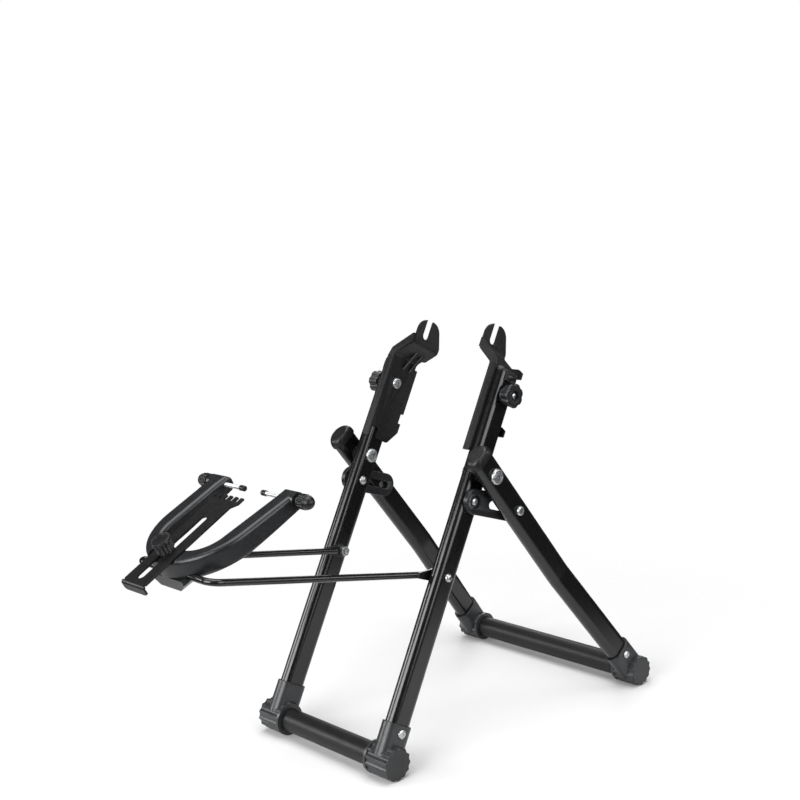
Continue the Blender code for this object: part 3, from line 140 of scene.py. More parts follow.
# Fold pivots and stay links
PIVOT_RADIUS = 4 * MM
PIVOT_HEAD_RADIUS = 8.5 * MM
PIVOT_HEAD_HEIGHT = 3.6 * MM
PIVOT_INNER_HEAD = 8 * MM
SPACER_RADIUS = 9 * MM
LINK_THICKNESS = 6 * MM
LINK_RADIUS = 13.5 * MM
LINK_SLOT_WIDTH = 8.4 * MM
LINK_SLOT_START = 20.5 * MM
LINK_OVERRUN = 14 * MM
LINK_EDGE = 0.9 * MM
LINK_RECESS_RADIUS = 7 * MM
LINK_RECESS_DEPTH = 3.2 * MM
LINK_SCREW_RADIUS = 3 * MM
LINK_SCREW_HEAD = 4.5 * MM
LINK_INNER_HEAD = 5 * MM
LINK_SCREW_HEAD_HEIGHT = 2.5 * MM
LEG_SCREW_RADIUS = 3.5 * MM
LEG_SCREW_HEAD = 5.2 * MM
LEG_SCREW_HEAD_HEIGHT = 3.2 * MM
HEX_RADIUS = 1.8 * MM
HEX_DEPTH = 2 * MM
PIVOT_HEX_RADIUS = 3 * MM
CLAMP_HEX_RADIUS = 2.3 * MM
PAN_ROUNDING = 0.6  # how wide a head's rounded rim is, as a share of its height
HEAD_RIM = 0.2  # the share of the rounding's sweep left out, so that the rim ends in an upright wall
GROOVE_START = 0.72
GROOVE_END = 0.86
GROOVE_DEPTH = 0.5 * MM

# Dropout plates
SHEET = 2.5 * MM
PLATE_BOTTOM = FOLD_HEIGHT + 20 * MM
PLATE_REAR = 26 * MM
PLATE_CHAMFER = 16 * MM
CORNER_RISE = 12 * MM
CORNER_DEPTH = 13.3 * MM
FLANGE_DEPTH = 6.5 * MM
FORK_X = 52 * MM
FORK_RADIUS = 15 * MM
FORK_TOP = 18.5 * MM
SHEET_BEND = 5 * MM
AXLE_SLOT_WIDTH = 9.6 * MM
TAB_LENGTH = 12.5 * MM
TAB_WIDTH = 11.6 * MM
TAB_HEIGHTS = (NECK_HEIGHT - 1 * MM, PLATE_BOTTOM + 32.5 * MM)
TAB_NOTCH = 4 * MM
TAB_CHAMFER_LENGTH = 6 * MM
TAB_CHAMFER_DROP = 3.6 * MM
SHOULDER_RISE = 6 * MM  # from a fork's root up to where its rear edge starts to lean in
WEB_KNEE_RISE = 7 * MM
WEB_KNEE_INSET = 3 * MM
WEB_TOP_RISE = 10 * MM
WEB_TOP_DEPTH = 2.5 * MM
WEB_ROUNDING = 6 * MM
RIB_PLACES = (5 * MM, 15 * MM)
RIB_REACH = 12 * MM
RIB_NECK_REACH = 18 * MM
RIB_RADIUS = 2 * MM
PLATE_CORNER = 3 * MM
NECK_CORNER = 4 * MM
FORK_ROOT_RADIUS = 8 * MM
CLAMP_BOLT_RADIUS = 3 * MM
CLAMP_BOLT_CHAMFER = 0.5 * MM
CLAMP_BOLT_DOME = 1.2 * MM
CLAMP_HEAD_RADIUS = 6.3 * MM
CLAMP_HEAD_HEIGHT = 3.2 * MM

# Star knobs
STAR_RADIUS = 13.2 * MM
STAR_LOBES = 7
STAR_LOBE_DEPTH = 1.4 * MM
STAR_THICKNESS = 11 * MM
STAR_TAPER = 1.8 * MM  # how much less the knob's radius is at its back
STAR_EDGE = 1.6 * MM
STAR_SHARPNESS = 2.5  # over 1, the lobes are broader than the hollows between them
STAR_NECK_RADIUS = 8.5 * MM
STAR_NECK_LENGTH = 3.5 * MM
STAR_RECESS_RADIUS = 5.5 * MM
STAR_RECESS_DEPTH = 3 * MM

# Wire arm
WIRE_RADIUS = 3.5 * MM
WIRE_START = 9 * MM
WIRE_REACH = 273 * MM
WIRE_RISE = math.radians(11.8)
WIRE_FRONT_X = 61 * MM
WIRE_BEND_RADIUS = 13 * MM
EYE_THICKNESS = 3.3 * MM
EYE_RADIUS = 7.5 * MM
EYE_LENGTH = 26 * MM
EYE_INSET = 0.1 * MM
EYE_SWEEP = 110  # how far round an eyelet's head runs on each side, in degrees
EYE_ROOT = 2.9 * MM
EYE_EDGE = 0.6 * MM
WIRE_BOLT_RADIUS = 2.6 * MM
WIRE_BOLT_HEAD = 4.6 * MM
WIRE_BOLT_HEAD_HEIGHT = 3.4 * MM
WIRE_BOLT_TAIL = 1.5 * MM
NUT_FLATS = 10 * MM
NUT_HEIGHT = 6 * MM

# Yoke: reach runs from the wire's crosspiece toward the hub, height square to the yoke
YOKE_TILT = math.radians(23.5)
YOKE_TOP = 20.1 * MM
YOKE_DEPTH = 23 * MM
YOKE_END_DEPTH = 16 * MM
YOKE_FLARE = 4 * MM  # how much further out the arms are at their ends than at the bow
YOKE_INNER_X = 46.5 * MM
YOKE_OUTER_X = 68 * MM
YOKE_INNER_BACK = 13.5 * MM
YOKE_OUTER_BACK = -9.5 * MM
YOKE_CORNER_RADIUS = 28 * MM
YOKE_REACH = 122 * MM
YOKE_TAPER_START = 24 * MM
YOKE_EDGE = 4.5 * MM
CHANNEL_HALF_WIDTH = 22 * MM
CLAMP_HALF_WIDTH = 17 * MM
CLAMP_TOP_HALF_WIDTH = 27 * MM
CLAMP_DEPTH = 10 * MM
CLAMP_BACK = -9.3 * MM
CLAMP_FRONT = 12 * MM
CLAMP_BITE = 3 * MM
CLAMP_SHOULDER = 2 * MM
CLAMP_ROUNDING = 3 * MM

# Feeler screws
FEELER_REACH = 113.5 * MM
FEELER_DROP = 7 * MM
FEELER_RADIUS = 2.2 * MM
FEELER_PITCH = 0.8 * MM
FEELER_TIP_X = 14 * MM
FEELER_TIP_LENGTH = 7 * MM
FEELER_TIP_RADIUS = 2.9 * MM
FEELER_BOSS_RADIUS = 8 * MM
FEELER_BOSS_HEIGHT = 2 * MM
CAP_RADIUS = 7.6 * MM
CAP_INNER_X = 74 * MM
CAP_LENGTH = 17 * MM
CAP_RIBS = 16
CAP_RIB_DEPTH = 0.7 * MM
CAP_RIB_ROUNDING = 0.3 * MM
CAP_DOME_LENGTH = 7.5 * MM

# Comb gauge and its thumb screw
GAUGE_SLOPE = math.radians(4.3)
GAUGE_HEIGHT = 17.7 * MM
GAUGE_THICKNESS = 2 * MM
GAUGE_HALF_WIDTH = 18 * MM
GAUGE_BACK = 42 * MM
GAUGE_FRONT = 87.5 * MM
GAUGE_BEND = 2 * MM
GAUGE_TAB = 8 * MM
GAUGE_TAB_HALF_WIDTH = 18.8 * MM
GAUGE_TAB_ROUNDING = 5 * MM
RELIEF = 1.5 * MM
COMB_FLARE = 73 * MM
COMB_SHOULDER = 2 * MM
COMB_HALF_WIDTH = 24 * MM
COMB_TEETH = 6
COMB_TOOTH_LENGTH = 6 * MM
GAUGE_SLOT_WIDTH = 9.5 * MM
GAUGE_SLOT_BACK = 33 * MM
GAUGE_SLOT_FRONT = 55.5 * MM
THUMB_REACH = 4.5 * MM
THUMB_RADIUS = 10 * MM
THUMB_SKIRT_RADIUS = 9.2 * MM
THUMB_HEIGHT = 15 * MM
THUMB_DISC = 3 * MM
THUMB_RIM = 0.7 * MM  # half the width of the rim round the dished top
THUMB_DISH = 1.5 * MM
THUMB_DISH_CROWN = 0.6 * MM
THUMB_COLLAR = 2.5 * MM
THUMB_COLLAR_RADIUS = 7.5 * MM
THUMB_RIB_DEPTH = 1.3 * MM
THUMB_RIBS = 14
THUMB_RIB_SHARPNESS = 2.0
THUMB_STUD_RADIUS = 2.6 * MM
THUMB_STUD_DEPTH = 11 * MM

# Finishes: a noise is given by its features in a metre and its detail
TONE_NOISE = (90, 4)
SHEEN_NOISE = (260, 3)
NOISE_LOW = 0.3  # a noise's values lie mostly between these two
NOISE_HIGH = 0.7
BUMP_DETAIL = 2
BUMP_STRENGTH = 0.5
WEAR_START = 0.56  # the pointiness at which an edge starts to look worn
WEAR_FULL = 0.7
WEAR_SHARE = 0.5  # how much of the worn colour shows on the sharpest edges

# Studio
CAMERA_AZIMUTH = math.radians(45.32)
CAMERA_ELEVATION = math.radians(6.71)
CAMERA_DISTANCE = 1.4436
CAMERA_PAN = math.radians(2.70)
CAMERA_TILT = math.radians(-2.62)
CAMERA_ROLL = math.radians(2.79)
CAMERA_LENS = 58.09  # millimetres, as the sensor
CAMERA_SENSOR = 36
FLOOR_FADE_START = 0.3  # metres from the stand's middle
FLOOR_FADE_END = 0.78
FLOOR_DROP = 0.2 * MM  # how far the floor lies below the feet
FLOOR_GREY = 0.62
GLOW = 0.05  # strength of the backdrop's light on the stand

# Places worked out from the sizes above
UPRIGHT_INNER = UPRIGHT_X - TUBE_DEPTH / 2
UPRIGHT_OUTER = UPRIGHT_X + TUBE_DEPTH / 2
LINK_INNER = UPRIGHT_OUTER + GAP
LINK_OUTER = LINK_INNER + LINK_THICKNESS
LEG_INNER = LINK_OUTER + GAP
LEG_X = LEG_INNER + TUBE_DEPTH / 2
LEG_OUTER = LEG_INNER + TUBE_DEPTH
SOCKET_FLOOR = BAR_RADIUS + GAP + FOOT_WEB
LEG_SLOPE = math.acos(FOLD_HEIGHT * math.cos(LEAN) / LEG_LENGTH)
SPLAY = math.atan2(LEG_FOOT_X - LEG_X, LEG_LENGTH - LEG_BEND)
WIRE_X = UPRIGHT_INNER - GAP - WIRE_RADIUS - EYE_INSET
KNOB_SEAT = UPRIGHT_OUTER + GAP
BAR_Z = FOOT_RADIUS
TAB_BEND = GAUGE_BEND + GAUGE_THICKNESS / 2

# The fold joint fixes where the front bar lies along Y
FOLD_JOINT = next(joint for joint in frame["joints"] if joint["name"] == "rear_frame_fold")
FRONT_Y = FOLD_JOINT["pos_m"][1] - FOLD_HEIGHT * math.sin(LEAN)


def tilted(location, tilt, parent=Matrix.Identity(4)):
    """An axis whose local X stays the stand's X, turned about X by tilt."""
    return parent @ Matrix.Translation(location) @ Matrix.Rotation(tilt, 4, "X")


def on_upright(height):
    return Vector((0, FRONT_Y + height * math.sin(LEAN), BAR_Z + height * math.cos(LEAN)))


FOLD_POINT = on_upright(FOLD_HEIGHT)
LINK_POINT = on_upright(LINK_HEIGHT)
LEG_SCREW_POINT = FOLD_POINT + LEG_SCREW * Vector((0, math.sin(LEG_SLOPE), -math.cos(LEG_SLOPE)))
LINK_WAY = LEG_SCREW_POINT - LINK_POINT
LINK_LENGTH = LINK_WAY.length

FRAME_AXIS = tilted((0, FRONT_Y, BAR_Z), -LEAN)
KNOB_AXIS = tilted((0, 0, KNOB_HEIGHT), 0, FRAME_AXIS)
FOLD_AXIS = tilted(FOLD_POINT, LEG_SLOPE)
REAR_BAR_AXIS = tilted((0, 0, -LEG_LENGTH), 0, FOLD_AXIS)
LINK_AXIS = tilted(LINK_POINT, math.atan2(LINK_WAY.z, LINK_WAY.y))
WIRE_AXIS = tilted(on_upright(WIRE_HEIGHT), -WIRE_RISE)
YOKE_AXIS = tilted((0, -WIRE_REACH, 0), YOKE_TILT + WIRE_RISE, WIRE_AXIS)
FEELER_AXIS = tilted((0, FEELER_REACH, YOKE_TOP - FEELER_DROP), 0, YOKE_AXIS)
GAUGE_SEAT = tilted((0, 0, GAUGE_HEIGHT), GAUGE_SLOPE, YOKE_AXIS)
THUMB_AXIS = tilted((0, THUMB_REACH, 0), 0, GAUGE_SEAT)

ALONG_X = Matrix(((0, 0, 1, 0), (1, 0, 0, 0), (0, 1, 0, 0), (0, 0, 0, 1)))
ALONG_Y = Matrix(((1, 0, 0, 0), (0, 0, -1, 0), (0, 1, 0, 0), (0, 0, 0, 1)))
ALONG_Z = Matrix.Identity(4)


def arc(centre, radius, start, end, steps):
    """Points on an arc, both ends included; angles in degrees."""
    points = []
    for step in range(steps + 1):
        angle = math.radians(start + (end - start) * step / steps)
        points.append((centre[0] + radius * math.cos(angle), centre[1] + radius * math.sin(angle)))
    return points


def circle(radius, steps=HOLE_STEPS, centre=(0, 0)):
    return arc(centre, radius, 0, 360, steps)[:-1]


def stadium(depth, width, centre=(0, 0)):
    """A flat oval, width across its long way (second coordinate)."""
    radius = depth / 2
    reach = width / 2 - radius
    high = arc((centre[0], centre[1] + reach), radius, 0, 180, ARC_STEPS)
    low = arc((centre[0], centre[1] - reach), radius, 180, 360, ARC_STEPS)
    return high + low


def capsule(start, end, radius, steps=20):
    """A round-ended bar between two points of the plane."""
    way = math.degrees(math.atan2(end[1] - start[1], end[0] - start[0]))
    return arc(end, radius, way - 90, way + 90, steps) + arc(start, radius, way + 90, way + 270, steps)


def rounded(corners, steps=8):
    """A polygon or path whose corners (a, b, radius) are rounded; radius 0 keeps one sharp."""
    points = []
    for index, (a, b, radius) in enumerate(corners):
        if radius == 0:
            points.append((a, b))
            continue
        here = Vector((a, b))
        before = (Vector(corners[index - 1][:2]) - here).normalized()
        after = (Vector(corners[(index + 1) % len(corners)][:2]) - here).normalized()
        half = before.angle(after) / 2
        centre = here + (before + after).normalized() * radius / math.sin(half)
        first = here + before * radius / math.tan(half) - centre
        last = here + after * radius / math.tan(half) - centre
        sweep = first.angle_signed(last)
        for step in range(steps + 1):
            turned_by = Matrix.Rotation(-sweep * step / steps, 2)
            points.append(tuple(centre + turned_by @ first))
    return points


def thickened(path, thickness):
    """The outline of a strip of sheet bent along an open path."""
    points = [Vector(point) for point in path]
    left, right = [], []
    for index, point in enumerate(points):
        before = (point - points[max(index - 1, 0)]).normalized()
        after = (points[min(index + 1, len(points) - 1)] - point).normalized()
        way = (before + after).normalized()
        across = Vector((-way.y, way.x)) * thickness / 2
        mitre = max(way.dot(after), way.dot(before))
        left.append(tuple(point + across / mitre))
        right.append(tuple(point - across / mitre))
    return left + right[::-1]


def wavy(radius, depth, waves, per_wave, start=0.0, sharpness=1.0):
    """A round outline whose crests reach radius and whose hollows lie depth below it."""
    points = []
    for step in range(waves * per_wave):
        angle = 2 * math.pi * step / (waves * per_wave)
        hollow = (0.5 - 0.5 * math.cos(waves * angle)) ** sharpness
        reach = radius - depth * hollow
        points.append((reach * math.cos(angle + start), reach * math.sin(angle + start)))
    return points


def weld(mesh):
    shape = bmesh.new()
    shape.from_mesh(mesh)
    bmesh.ops.remove_doubles(shape, verts=shape.verts, dist=0.002 * MM)
    bmesh.ops.recalc_face_normals(shape, faces=shape.faces)
    shape.to_mesh(mesh)
    shape.free()


def evaluated_mesh(thing):
    bpy.context.view_layer.update()
    graph = bpy.context.evaluated_depsgraph_get()
    return bpy.data.meshes.new_from_object(thing.evaluated_get(graph))


def linked(name, data):
    thing = bpy.data.objects.new(name, data)
    bpy.context.scene.collection.objects.link(thing)
    return thing


def curve_to_mesh(curve):
    holder = linked("curve", curve)
    mesh = evaluated_mesh(holder)
    bpy.data.objects.remove(holder)
    bpy.data.curves.remove(curve)
    weld(mesh)
    return mesh


def prism(outlines, low, high, way=ALONG_Z, edge=0.0, edge_steps=3):
    """A flat outline, with any holes in it, made thick from low to high, its rims rounded by edge."""
    curve = bpy.data.curves.new("prism", "CURVE")
    curve.dimensions = "2D"
    curve.fill_mode = "BOTH"
    curve.extrude = (high - low) / 2 - edge
    curve.bevel_depth = edge
    curve.bevel_resolution = edge_steps if edge else 0
    curve.offset = -edge
    for outline in outlines:
        spline = curve.splines.new("POLY")
        spline.points.add(len(outline) - 1)
        for point, (a, b) in zip(spline.points, outline):
            point.co = (a, b, 0, 1)
        spline.use_cyclic_u = True
    mesh = curve_to_mesh(curve)
    mesh.transform(way @ Matrix.Translation((0, 0, (low + high) / 2)))
    return mesh


def mesh_of(shape):
    """The mesh of a finished bmesh, which is used up."""
    mesh = bpy.data.meshes.new("shape")
    shape.to_mesh(mesh)
    shape.free()
    return mesh


def primitive(operator, **options):
    """A mesh from one of bmesh's own shape operators."""
    shape = bmesh.new()
    operator(shape, **options)
    return mesh_of(shape)


def loft(rings, hollow=False):
    """A skin through rings of equal count; hollow joins the last ring to the first."""
    shape = bmesh.new()
    rows = [[shape.verts.new(point) for point in ring] for ring in rings]
    count = len(rings[0])
    pairs = list(zip(rows, rows[1:]))
    if hollow:
        pairs.append((rows[-1], rows[0]))
    for row, following in pairs:
        for index in range(count):
            after = (index + 1) % count
            shape.faces.new((row[index], row[after], following[after], following[index]))
    if not hollow:
        shape.faces.new(reversed(rows[0]))
        shape.faces.new(rows[-1])
    bmesh.ops.recalc_face_normals(shape, faces=shape.faces)
    return mesh_of(shape)


def ring(outline, height):
    return [Vector((a, b, height)) for a, b in outline]


def rod(radius, low, high, steps=HOLE_STEPS, way=ALONG_X, centre=(0, 0)):
    """A plain round bar along X, or along another way."""
    ends = {"radius1": radius, "radius2": radius, "depth": high - low}
    mesh = primitive(bmesh.ops.create_cone, cap_ends=True, segments=steps, **ends)
    mesh.transform(way @ Matrix.Translation((*centre, (low + high) / 2)))
    return mesh


def bar_between(start, end, radius):
    """A round bar from one point to another, with ball ends."""
    mesh = primitive(bmesh.ops.create_uvsphere, u_segments=20, v_segments=12, radius=radius)
    way = Vector(end) - Vector(start)
    for vertex in mesh.vertices:
        if vertex.co.z > 0:
            vertex.co.z += way.length
    mesh.transform(Matrix.Translation(start) @ way.to_track_quat("Z", "Y").to_matrix().to_4x4())
    return mesh


def ball(radii, centre):
    """An egg shape with its own radius along each axis."""
    mesh = primitive(bmesh.ops.create_uvsphere, u_segments=40, v_segments=24, radius=1)
    mesh.transform(Matrix.Translation(centre) @ Matrix.Diagonal((*radii, 1)))
    return mesh


def box(low, high):
    mesh = primitive(bmesh.ops.create_cube, size=1)
    size = [b - a for a, b in zip(low, high)]
    middle = [(a + b) / 2 for a, b in zip(low, high)]
    mesh.transform(Matrix.Translation(middle) @ Matrix.Diagonal((*size, 1)))
    return mesh


def turned(profile, steps=TURN_STEPS, way=ALONG_X):
    """A turned piece. The profile holds (distance along the axis, radius), far end first."""
    mesh = bpy.data.meshes.new("profile")
    points = [(radius, 0, along) for along, radius in profile]
    mesh.from_pydata(points, [(i, i + 1) for i in range(len(points) - 1)], [])
    thing = linked("profile", mesh)
    screw = thing.modifiers.new("turn", "SCREW")
    screw.axis = "Z"
    screw.steps = steps
    screw.render_steps = steps
    screw.use_merge_vertices = True
    screw.merge_threshold = 0.000005
    result = evaluated_mesh(thing)
    bpy.data.objects.remove(thing)
    bpy.data.meshes.remove(mesh)
    result.transform(way)
    weld(result)
    return result


def threaded(radius, low, high, pitch, steps=20, rows_per_turn=6):
    """A stem along X with a helical thread that fades out over its last turns."""
    rows = round((high - low) / pitch * rows_per_turn)
    rings = []
    for row in range(rows + 1):
        along = low + (high - low) * row / rows
        depth = 0.5 * pitch * min(1, (along - low) / pitch + 0.3, (high - along) / pitch + 0.3)
        points = []
        for step in range(steps):
            angle = 2 * math.pi * step / steps
            phase = (along / pitch - step / steps) % 1
            reach = radius - depth * abs(2 * phase - 1)
            points.append(Vector((along, reach * math.cos(angle), reach * math.sin(angle))))
        rings.append(points)
    return loft(rings)


def dome(seat, radius, height, steps=10):
    """A domed head that stands on seat, as a profile from its crown to its rim."""
    points = []
    for step in range(steps + 1):
        angle = math.radians(90 - 72 * step / steps)
        points.append((seat + height * math.sin(angle), radius * math.cos(angle)))
    points[0] = (points[0][0], 0.0)
    return points + [(seat, radius)]


def pan(seat, radius, height, groove=False, steps=8):
    """A flat-topped head with a rounded rim, and with a turned groove round its crown if asked."""
    flat = radius - PAN_ROUNDING * height
    points = [(seat + height, 0.0)]
    if groove:
        for share in (GROOVE_START, GROOVE_END):
            inner = (seat + height, flat * share)
            outer = (seat + height - GROOVE_DEPTH, flat * share)
            points += [inner, outer] if share == GROOVE_START else [outer, inner]
    for step in range(steps + 1):
        angle = math.radians(90 * step / steps)
        along = seat + height * math.sin(math.radians(90) - angle * (1 - HEAD_RIM))
        points.append((along, flat + (radius - flat) * math.sin(angle)))
    return points + [(seat, radius)]


def pitted(profile, radius, depth):
    """Drills the crown of a domed profile."""
    crown = profile[0][0]
    rest = [point for point in profile if point[1] > radius]
    return [(crown - depth, 0.0), (crown - depth, radius), (rest[0][0] + 0.02 * MM, radius)] + rest


def facing_inward(profile, seat):
    """The same head on the inner side of what it holds, from its rim to its crown."""
    return [(2 * seat - along, radius) for along, radius in reversed(profile)]


def moved(mesh, y=0.0, z=0.0):
    mesh.transform(Matrix.Translation((0, y, z)))
    return mesh


def placed(mesh, axis):
    mesh.transform(axis)
    return mesh


def splayed(mesh, x, angle):
    """Leans a mesh about the point x of the bar, its top toward the stand's middle."""
    pivot = Matrix.Translation((x, 0, 0))
    mesh.transform(pivot @ Matrix.Rotation(-angle, 4, "Y") @ pivot.inverted())
    return mesh


def boolean(mesh, tool, operation):
    """The mesh cut by, joined with or kept inside another; both are used up."""
    base = linked("base", mesh)
    other = linked("tool", tool)
    modifier = base.modifiers.new("boolean", "BOOLEAN")
    modifier.operation = operation
    modifier.object = other
    modifier.solver = "EXACT"
    result = evaluated_mesh(base)
    bpy.data.objects.remove(base)
    bpy.data.objects.remove(other)
    bpy.data.meshes.remove(mesh)
    bpy.data.meshes.remove(tool)
    return result


def cut(mesh, tool):
    return boolean(mesh, tool, "DIFFERENCE")


def join(mesh, tool):
    return boolean(mesh, tool, "UNION")


def keep_inside(mesh, tool):
    return boolean(mesh, tool, "INTERSECT")


def hex_socket(mesh, crown, height, radius=HEX_RADIUS):
    """Sinks a hexagon socket into the crown of a screw head."""
    return cut(mesh, rod(radius, crown - HEX_DEPTH, crown + HEX_DEPTH, 6, centre=(0, height)))


def noise(tree, scale, detail):
    """A noise texture in the piece's own coordinates; scale counts its features in a metre."""
    coordinates = tree.nodes.new("ShaderNodeTexCoord")
    texture = tree.nodes.new("ShaderNodeTexNoise")
    texture.inputs["Scale"].default_value = scale
    texture.inputs["Detail"].default_value = detail
    tree.links.new(coordinates.outputs["Object"], texture.inputs["Vector"])
    return texture.outputs["Fac"]


def spread(tree, value, low, high):
    """Maps a noise value to the range from low to high."""
    mapped = tree.nodes.new("ShaderNodeMapRange")
    mapped.inputs["From Min"].default_value = NOISE_LOW
    mapped.inputs["From Max"].default_value = NOISE_HIGH
    mapped.inputs["To Min"].default_value = low
    mapped.inputs["To Max"].default_value = high
    tree.links.new(value, mapped.inputs["Value"])
    return mapped.outputs["Result"]


def finish(name, dark, light, roughness, grain, metallic=0.0, specular=0.5, worn=None):
    """A finish that varies from dark to light, with a bump and worn edges.

    roughness is (low, high) and grain is (features in a metre, height in metres).
    """
    material = bpy.data.materials.new(name)
    material.use_nodes = True
    tree = material.node_tree
    shader = tree.nodes["Principled BSDF"]
    shader.inputs["Metallic"].default_value = metallic
    shader.inputs["Specular IOR Level"].default_value = specular
    tones = tree.nodes.new("ShaderNodeMix")
    tones.data_type = "RGBA"
    tones.inputs["A"].default_value = (*dark, 1)
    tones.inputs["B"].default_value = (*light, 1)
    tree.links.new(spread(tree, noise(tree, *TONE_NOISE), 0, 1), tones.inputs["Factor"])
    colour = tones.outputs["Result"]
    if worn:
        edges = tree.nodes.new("ShaderNodeNewGeometry")
        ramp = tree.nodes.new("ShaderNodeMapRange")
        ramp.inputs["From Min"].default_value = WEAR_START
        ramp.inputs["From Max"].default_value = WEAR_FULL
        ramp.inputs["To Max"].default_value = WEAR_SHARE
        tree.links.new(edges.outputs["Pointiness"], ramp.inputs["Value"])
        rubbed = tree.nodes.new("ShaderNodeMix")
        rubbed.data_type = "RGBA"
        rubbed.inputs["B"].default_value = (*worn, 1)
        tree.links.new(ramp.outputs["Result"], rubbed.inputs["Factor"])
        tree.links.new(colour, rubbed.inputs["A"])
        colour = rubbed.outputs["Result"]
    tree.links.new(colour, shader.inputs["Base Color"])
    tree.links.new(spread(tree, noise(tree, *SHEEN_NOISE), *roughness), shader.inputs["Roughness"])
    bump = tree.nodes.new("ShaderNodeBump")
    bump.inputs["Strength"].default_value = BUMP_STRENGTH
    bump.inputs["Distance"].default_value = grain[1]
    tree.links.new(noise(tree, grain[0], BUMP_DETAIL), bump.inputs["Height"])
    tree.links.new(bump.outputs["Normal"], shader.inputs["Normal"])
    return material


FINISHES = {
    "powder_coat": finish(
        "powder_coat", (0.003, 0.003, 0.0033), (0.0045, 0.0045, 0.005), (0.17, 0.22), (700, 0.000003)
    ),
    "black_wire": finish(
        "black_wire", (0.003, 0.003, 0.0033), (0.005, 0.005, 0.0055), (0.2, 0.26), (700, 0.000003)
    ),
    "satin_bar": finish(
        "satin_bar", (0.003, 0.003, 0.0033), (0.005, 0.005, 0.0055), (0.4, 0.46), (700, 0.000003),
        specular=0.3,
    ),
    "black_sheet": finish(
        "black_sheet", (0.004, 0.004, 0.0044), (0.006, 0.006, 0.0066), (0.36, 0.46), (2000, 0.00001),
        specular=0.3, worn=(0.02, 0.02, 0.022),
    ),
    "moulded": finish(
        "moulded", (0.0065, 0.007, 0.008), (0.0095, 0.0102, 0.0115), (0.3, 0.38), (1500, 0.00002),
        specular=0.45, worn=(0.03, 0.032, 0.034),
    ),
    "moulded_dark": finish(
        "moulded_dark", (0.004, 0.0041, 0.0045), (0.006, 0.0062, 0.0068), (0.34, 0.44), (1500, 0.00003),
        specular=0.35, worn=(0.02, 0.02, 0.022),
    ),
    "zinc": finish(
        "zinc", (0.36, 0.37, 0.38), (0.5, 0.51, 0.52), (0.3, 0.42), (2500, 0.00001), metallic=1.0
    ),
}

# The cross bars are duller than the other pieces of their slot
OWN_FINISH = {"front_bar": "satin_bar", "rear_bar": "satin_bar"}


def piece(node, mesh, edge=EDGE):
    """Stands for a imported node, on its body, with its edges broken."""
    mesh.name = "fine_" + node
    mesh.shade_smooth()
    thing = linked("fine_" + node, mesh)
    if edge:
        bevel = thing.modifiers.new("edges", "BEVEL")
        bevel.width = edge
        bevel.segments = EDGE_STEPS
        bevel.limit_method = "ANGLE"
        bevel.angle_limit = EDGE_ANGLE
        bevel.use_clamp_overlap = True
    normals = thing.modifiers.new("normals", "WEIGHTED_NORMAL")
    normals.keep_sharp = True
    mesh.materials.clear()
    mesh.materials.append(FINISHES[OWN_FINISH.get(node, SLOT_OF[node])])
    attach(thing, BODY_OF[node])
    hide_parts(node)


def pair(name, mesh, edge=EDGE):
    """The right-hand piece and its mirror image."""
    mirrored = mesh.copy()
    mirrored.transform(Matrix.Scale(-1, 4, (1, 0, 0)))
    mirrored.flip_normals()
    piece("right_" + name, mesh, edge)
    piece("left_" + name, mirrored, edge)


def oval_outlines(x):
    outer = stadium(TUBE_DEPTH, TUBE_WIDTH, (x, 0))
    inner = stadium(TUBE_DEPTH - 2 * TUBE_WALL, TUBE_WIDTH - 2 * TUBE_WALL, (x, 0))
    return outer, inner


def grown_oval(x, growth):
    return stadium(TUBE_DEPTH + 2 * growth, TUBE_WIDTH + 2 * growth, (x, 0))


def end_cap(x, seat, base, top, inset, nose, lip=0.0):
    """A plug for the open top of a flat-oval tube, with an optional lip down its sides.

    From base up to top it rounds over, drawn in by inset at its flat sides and by nose at its edges.
    """
    plug = grown_oval(x, -TUBE_WALL - GAP)
    reach = GAP + CAP_WALL if lip else 0
    rings = [ring(plug, seat - PLUG_LENGTH), ring(plug, seat + GAP)]
    if lip:
        rings.append(ring(grown_oval(x, GAP), seat + GAP))
        rings.append(ring(grown_oval(x, GAP), base - lip))
        rings.append(ring(grown_oval(x, reach), base - lip))
    rings.append(ring(grown_oval(x, reach), base))
    for angle in range(6, 91, 6):
        share = 1 - math.cos(math.radians(angle))
        outline = stadium(
            TUBE_DEPTH + 2 * (reach - inset * share), TUBE_WIDTH + 2 * (reach - nose * share), (x, 0)
        )
        rings.append(ring(outline, base + (top - base) * math.sin(math.radians(angle))))
    return loft(rings)


